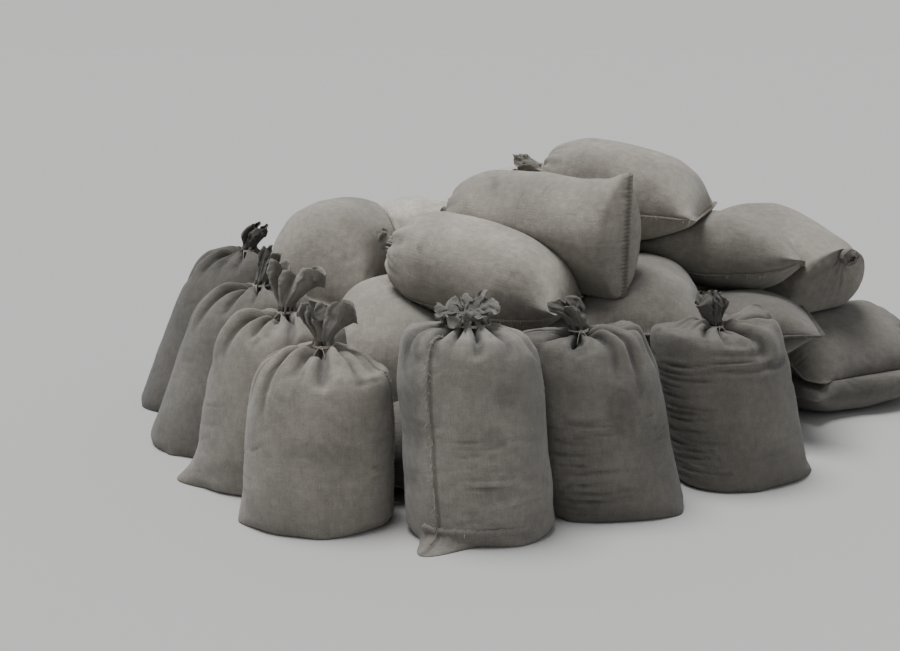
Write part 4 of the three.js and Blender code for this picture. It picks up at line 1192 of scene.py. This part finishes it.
def make_twine(sack, materials):
    """Turns of twine round the neck, a spiral on its oval, with a knot of two crossed loops in front
    and two short tails that fall away from it."""
    along, across, through, _ = sack_axes(sack)
    random = np.random.default_rng(40 + sack["number"])
    wide, deep = sack["neck_half"]
    centre = sack["neck"] - along * NECK_LENGTH / 8
    share = np.linspace(0, 1, 300)
    angle = -math.pi / 2 + share * TWINE_TURNS * FULL_TURN
    out = TWINE_THICK / 2 + 0.0006 + 0.0006 * np.sin(angle * 3.1)
    rise = (share - 0.5) * TWINE_THICK * TWINE_TURNS
    winding = (centre + rise[:, None] * along + ((wide + out) * np.cos(angle))[:, None] * across
               + ((deep + out) * np.sin(angle))[:, None] * through)
    parts = [tube(winding, TWINE_THICK / 2, twist=TWINE_TWIST)]
    front = centre - through * (deep + TWINE_THICK * 1.3)
    loop = np.linspace(0, FULL_TURN, 26)
    for tilt, size in ((0.5, 0.0042), (-0.6, 0.0036)):
        right = across * math.cos(tilt) + along * math.sin(tilt)
        top = along * math.cos(tilt) - across * math.sin(tilt)
        knot = (front + (size * np.cos(loop))[:, None] * right + (size * np.sin(loop))[:, None] * top
                - (0.0012 * np.sin(2 * loop))[:, None] * through)
        parts.append(tube(knot, TWINE_THICK / 2, twist=TWINE_TWIST))
    for way in (-1, 1):
        fall = np.linspace(0, 1, 24)[:, None]
        long = random.uniform(0.028, 0.05)
        tail = (front + across * way * (0.004 + long * 0.5 * fall)
                - through * (0.003 + 0.014 * np.sqrt(fall)) - along * long * fall ** 1.6)
        parts.append(tube(tail, TWINE_THICK / 2.2, twist=TWINE_TWIST))
    piece = joined_piece(f"{sack['name']}_tie", parts, materials["twine"])
    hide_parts(f"{sack['name']}_twine")


def new_piece(name, vertices, faces, material, marks):
    """A smooth piece of one material, with its marks: a number at each point for each name."""
    mesh = bpy.data.meshes.new(name)
    mesh.from_pydata(vertices.tolist(), [], faces)
    mesh.polygons.foreach_set("use_smooth", np.ones(len(faces), bool))
    for mark, values in marks.items():
        values = values.astype(np.float32)
        mesh.attributes.new(mark, "FLOAT", "POINT").data.foreach_set("value", values)
    mesh.materials.append(material)
    piece = bpy.data.objects.new(name, mesh)
    bpy.context.scene.collection.objects.link(piece)
    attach(piece, "root")
    return piece


def joined_piece(name, parts, material, tone=1.0):
    """Many small parts as one piece, of one material and lightness."""
    vertices, faces, start = [], [], 0
    for points, polygons in parts:
        vertices.append(points)
        faces += [[corner + start for corner in polygon] for polygon in polygons]
        start += len(points)
    return new_piece(name, np.concatenate(vertices), faces, material, dict(tone=np.full(start, tone)))


# Materials

def fresh_material(name):
    material = bpy.data.materials.new(name)
    material.use_nodes = True
    return material, material.node_tree.nodes, material.node_tree.links


def jute_material(name, colour):
    """Burlap: plain weave with uneven threads both ways, mottled by dust and sun, with stains, painted
    shade in folds, inside the mouths and beside seams, a painted highlight on crests and rims, and
    darker near the ground."""
    material, nodes, links = fresh_material(name)
    shader = nodes["Principled BSDF"]
    shader.inputs["Roughness"].default_value = 0.94
    shader.inputs["Specular IOR Level"].default_value = 0.18
    shader.inputs["Sheen Weight"].default_value = 0.22
    shader.inputs["Sheen Roughness"].default_value = 0.6
    lay = nodes.new("ShaderNodeUVMap")
    lay.uv_map = "cloth"
    space = nodes.new("ShaderNodeTexCoord")

    def noise(source, scale, detail, stretch=(1, 1, 1)):
        mapping = nodes.new("ShaderNodeMapping")
        mapping.inputs["Scale"].default_value = stretch
        links.new(source, mapping.inputs["Vector"])
        texture = nodes.new("ShaderNodeTexNoise")
        texture.inputs["Scale"].default_value = scale
        texture.inputs["Detail"].default_value = detail
        links.new(mapping.outputs["Vector"], texture.inputs["Vector"])
        return texture.outputs["Fac"]

    def spread(value, low, high, to_low, to_high):
        change = nodes.new("ShaderNodeMapRange")
        for socket, number in (("From Min", low), ("From Max", high),
                               ("To Min", to_low), ("To Max", to_high)):
            change.inputs[socket].default_value = number
        links.new(value, change.inputs["Value"])
        return change.outputs["Result"]

    def times(first, second):
        product = nodes.new("ShaderNodeMath")
        product.operation = "MULTIPLY"
        links.new(first, product.inputs[0])
        links.new(second, product.inputs[1])
        return product.outputs["Value"]

    def mark(name):
        attribute = nodes.new("ShaderNodeAttribute")
        attribute.attribute_name = name
        return attribute.outputs["Fac"]

    def threads(direction):
        wave = nodes.new("ShaderNodeTexWave")
        wave.bands_direction = direction
        wave.inputs["Scale"].default_value = FULL_TURN / 20 / WEAVE_PITCH
        wave.inputs["Distortion"].default_value = 0.8
        wave.inputs["Detail"].default_value = 1
        links.new(lay.outputs["UV"], wave.inputs["Vector"])
        return wave.outputs["Fac"]

    patches = spread(noise(space.outputs["Object"], 4.5, 4), 0.35, 0.68, 0.82, 1.13)
    mottle = spread(noise(space.outputs["Object"], 38, 3), 0.35, 0.68, 0.89, 1.08)
    warp_slubs = spread(noise(lay.outputs["UV"], 1, 3, (420, 12, 1)), 0.3, 0.7, 0.9, 1.08)
    weft_slubs = spread(noise(lay.outputs["UV"], 1, 3, (14, 380, 1)), 0.3, 0.7, 0.93, 1.05)
    speckle = spread(noise(space.outputs["Object"], 320, 2), 0.3, 0.7, 0.84, 1.13)
    # Painted shade in folds, inside the mouths and beside seams, together with stains, darkens the
    # cloth; a painted highlight lightens crests and rims.
    shade_and_stain_darkening = spread(mark("fold"), 0, 1, 1, 0.55)
    painted_highlight_gain = spread(mark("painted_highlight"), 0, 1, 1, 1.25)
    place = nodes.new("ShaderNodeSeparateXYZ")
    links.new(space.outputs["Object"], place.inputs["Vector"])
    ground = spread(place.outputs["Z"], 0.0, 0.16, 0.8, 1)
    tone = times(times(times(patches, mottle), times(speckle, times(warp_slubs, weft_slubs))),
                 times(times(times(shade_and_stain_darkening, painted_highlight_gain), mark("tone")), ground))
    shade = nodes.new("ShaderNodeMix")
    shade.data_type = "RGBA"
    shade.blend_type = "MULTIPLY"
    shade.inputs["Factor"].default_value = 1
    shade.inputs["A"].default_value = (*colour, 1)
    links.new(tone, shade.inputs["B"])
    links.new(shade.outputs["Result"], shader.inputs["Base Color"])

    def bump(height, distance, below=None):
        relief = nodes.new("ShaderNodeBump")
        relief.inputs["Distance"].default_value = distance
        relief.inputs["Strength"].default_value = 1
        links.new(height, relief.inputs["Height"])
        if below is not None:
            links.new(below, relief.inputs["Normal"])
        return relief.outputs["Normal"]

    crinkle = bump(noise(space.outputs["Object"], 55, 4), 0.0016)
    slubs = bump(times(warp_slubs, weft_slubs), 0.0034, crinkle)
    weave = bump(times(threads("X"), threads("Y")), 0.0005, slubs)
    links.new(weave, shader.inputs["Normal"])
    return material


def twine_material(colour):
    """Jute twine: a fine speckle of darker fibres and lighter hairs, raised a little."""
    material, nodes, links = fresh_material("twine")
    shader = nodes["Principled BSDF"]
    shader.inputs["Roughness"].default_value = 0.88
    shader.inputs["Sheen Weight"].default_value = 0.2
    space = nodes.new("ShaderNodeTexCoord")
    texture = nodes.new("ShaderNodeTexNoise")
    texture.inputs["Scale"].default_value = 420
    texture.inputs["Detail"].default_value = 3
    links.new(space.outputs["Object"], texture.inputs["Vector"])
    ramp = nodes.new("ShaderNodeValToRGB")
    for stop, place, light in zip(ramp.color_ramp.elements, (0.3, 0.7), (0.62, 1.2)):
        stop.position = place
        stop.color = (*(min(1, part * light) for part in colour), 1)
    links.new(texture.outputs["Fac"], ramp.inputs["Fac"])
    links.new(ramp.outputs["Color"], shader.inputs["Base Color"])
    relief = nodes.new("ShaderNodeBump")
    relief.inputs["Distance"].default_value = 0.0006
    links.new(texture.outputs["Fac"], relief.inputs["Height"])
    links.new(relief.outputs["Normal"], shader.inputs["Normal"])
    return material


# Camera, floor and light

def make_camera(shift):
    camera = bpy.data.objects.new("camera", bpy.data.cameras.new("camera"))
    camera.data.sensor_width = SENSOR
    camera.data.lens = FOCAL_PIXELS * SENSOR / IMAGE_WIDTH
    camera.location = np.array(CAMERA_PLACE) + shift
    camera.rotation_euler = (math.radians(90 - CAMERA_PITCH), 0, 0)
    bpy.context.scene.collection.objects.link(camera)
    bpy.context.scene.camera = camera


def make_floor():
    """A plain pale floor that reaches well past the view."""
    mesh = bpy.data.meshes.new("floor")
    corners = [(x * FLOOR_REACH, y * FLOOR_REACH, 0) for x, y in ((-1, -1), (1, -1), (1, 1), (-1, 1))]
    mesh.from_pydata(corners, [], [(0, 1, 2, 3)])
    floor = bpy.data.objects.new("floor", mesh)
    bpy.context.scene.collection.objects.link(floor)
    material, nodes, _ = fresh_material("floor")
    shader = nodes["Principled BSDF"]
    shader.inputs["Base Color"].default_value = (0.47, 0.465, 0.457, 1)
    shader.inputs["Roughness"].default_value = 0.95
    shader.inputs["Specular IOR Level"].default_value = 0.1
    mesh.materials.append(material)


def make_light():
    """An even studio, seen behind the floor as pale as the floor is, and one wide light from high up,
    a little to the left."""
    world = bpy.data.worlds.new("studio")
    world.use_nodes = True
    nodes, links = world.node_tree.nodes, world.node_tree.links
    around = nodes["Background"]
    behind = nodes.new("ShaderNodeBackground")
    for background, colour, strength in ((around, (0.96, 0.97, 1.0, 1), 0.44),
                                         (behind, (1, 0.997, 0.987, 1), 0.69)):
        background.inputs["Color"].default_value = colour
        background.inputs["Strength"].default_value = strength
    ray = nodes.new("ShaderNodeLightPath")
    seen = nodes.new("ShaderNodeMixShader")
    links.new(ray.outputs["Is Camera Ray"], seen.inputs["Fac"])
    links.new(around.outputs["Background"], seen.inputs[1])
    links.new(behind.outputs["Background"], seen.inputs[2])
    links.new(seen.outputs["Shader"], nodes["World Output"].inputs["Surface"])
    bpy.context.scene.world = world
    lamp = bpy.data.lights.new("sky", "SUN")
    lamp.angle = math.radians(30)
    lamp.energy = 3.5
    light = bpy.data.objects.new("sky", lamp)
    light.rotation_mode = "QUATERNION"
    light.rotation_quaternion = Vector((-0.24, 0.04, 1.0)).to_track_quat("Z", "Y")
    bpy.context.scene.collection.objects.link(light)


sacks = all_sacks()
shift = heap_shift(sacks)
make_camera(shift)
for sack in sacks.values():
    sack["foot"] = sack["foot"] + shift
    sack["neck"] = sack["neck"] + shift
planes = contact_planes(sacks)
materials = dict(jute=jute_material("jute", (0.35, 0.325, 0.28)),
                 pale_jute=jute_material("pale_jute", (0.42, 0.395, 0.345)),
                 dark_jute=jute_material("dark_jute", (0.27, 0.25, 0.215)),
                 twine=twine_material((0.52, 0.48, 0.4)))
forms = {name: sack_form(sack) for name, sack in sacks.items()}
shown = {name: form for name, form in forms.items() if not sacks[name]["hidden"]}
moves = settle(shown, sacks)
for name, sack in sacks.items():
    make_sack(sack, forms[name], moves.get(name), planes[name], materials)
    if sack["tied"]:
        make_twine(sack, materials)
make_floor()
make_light()
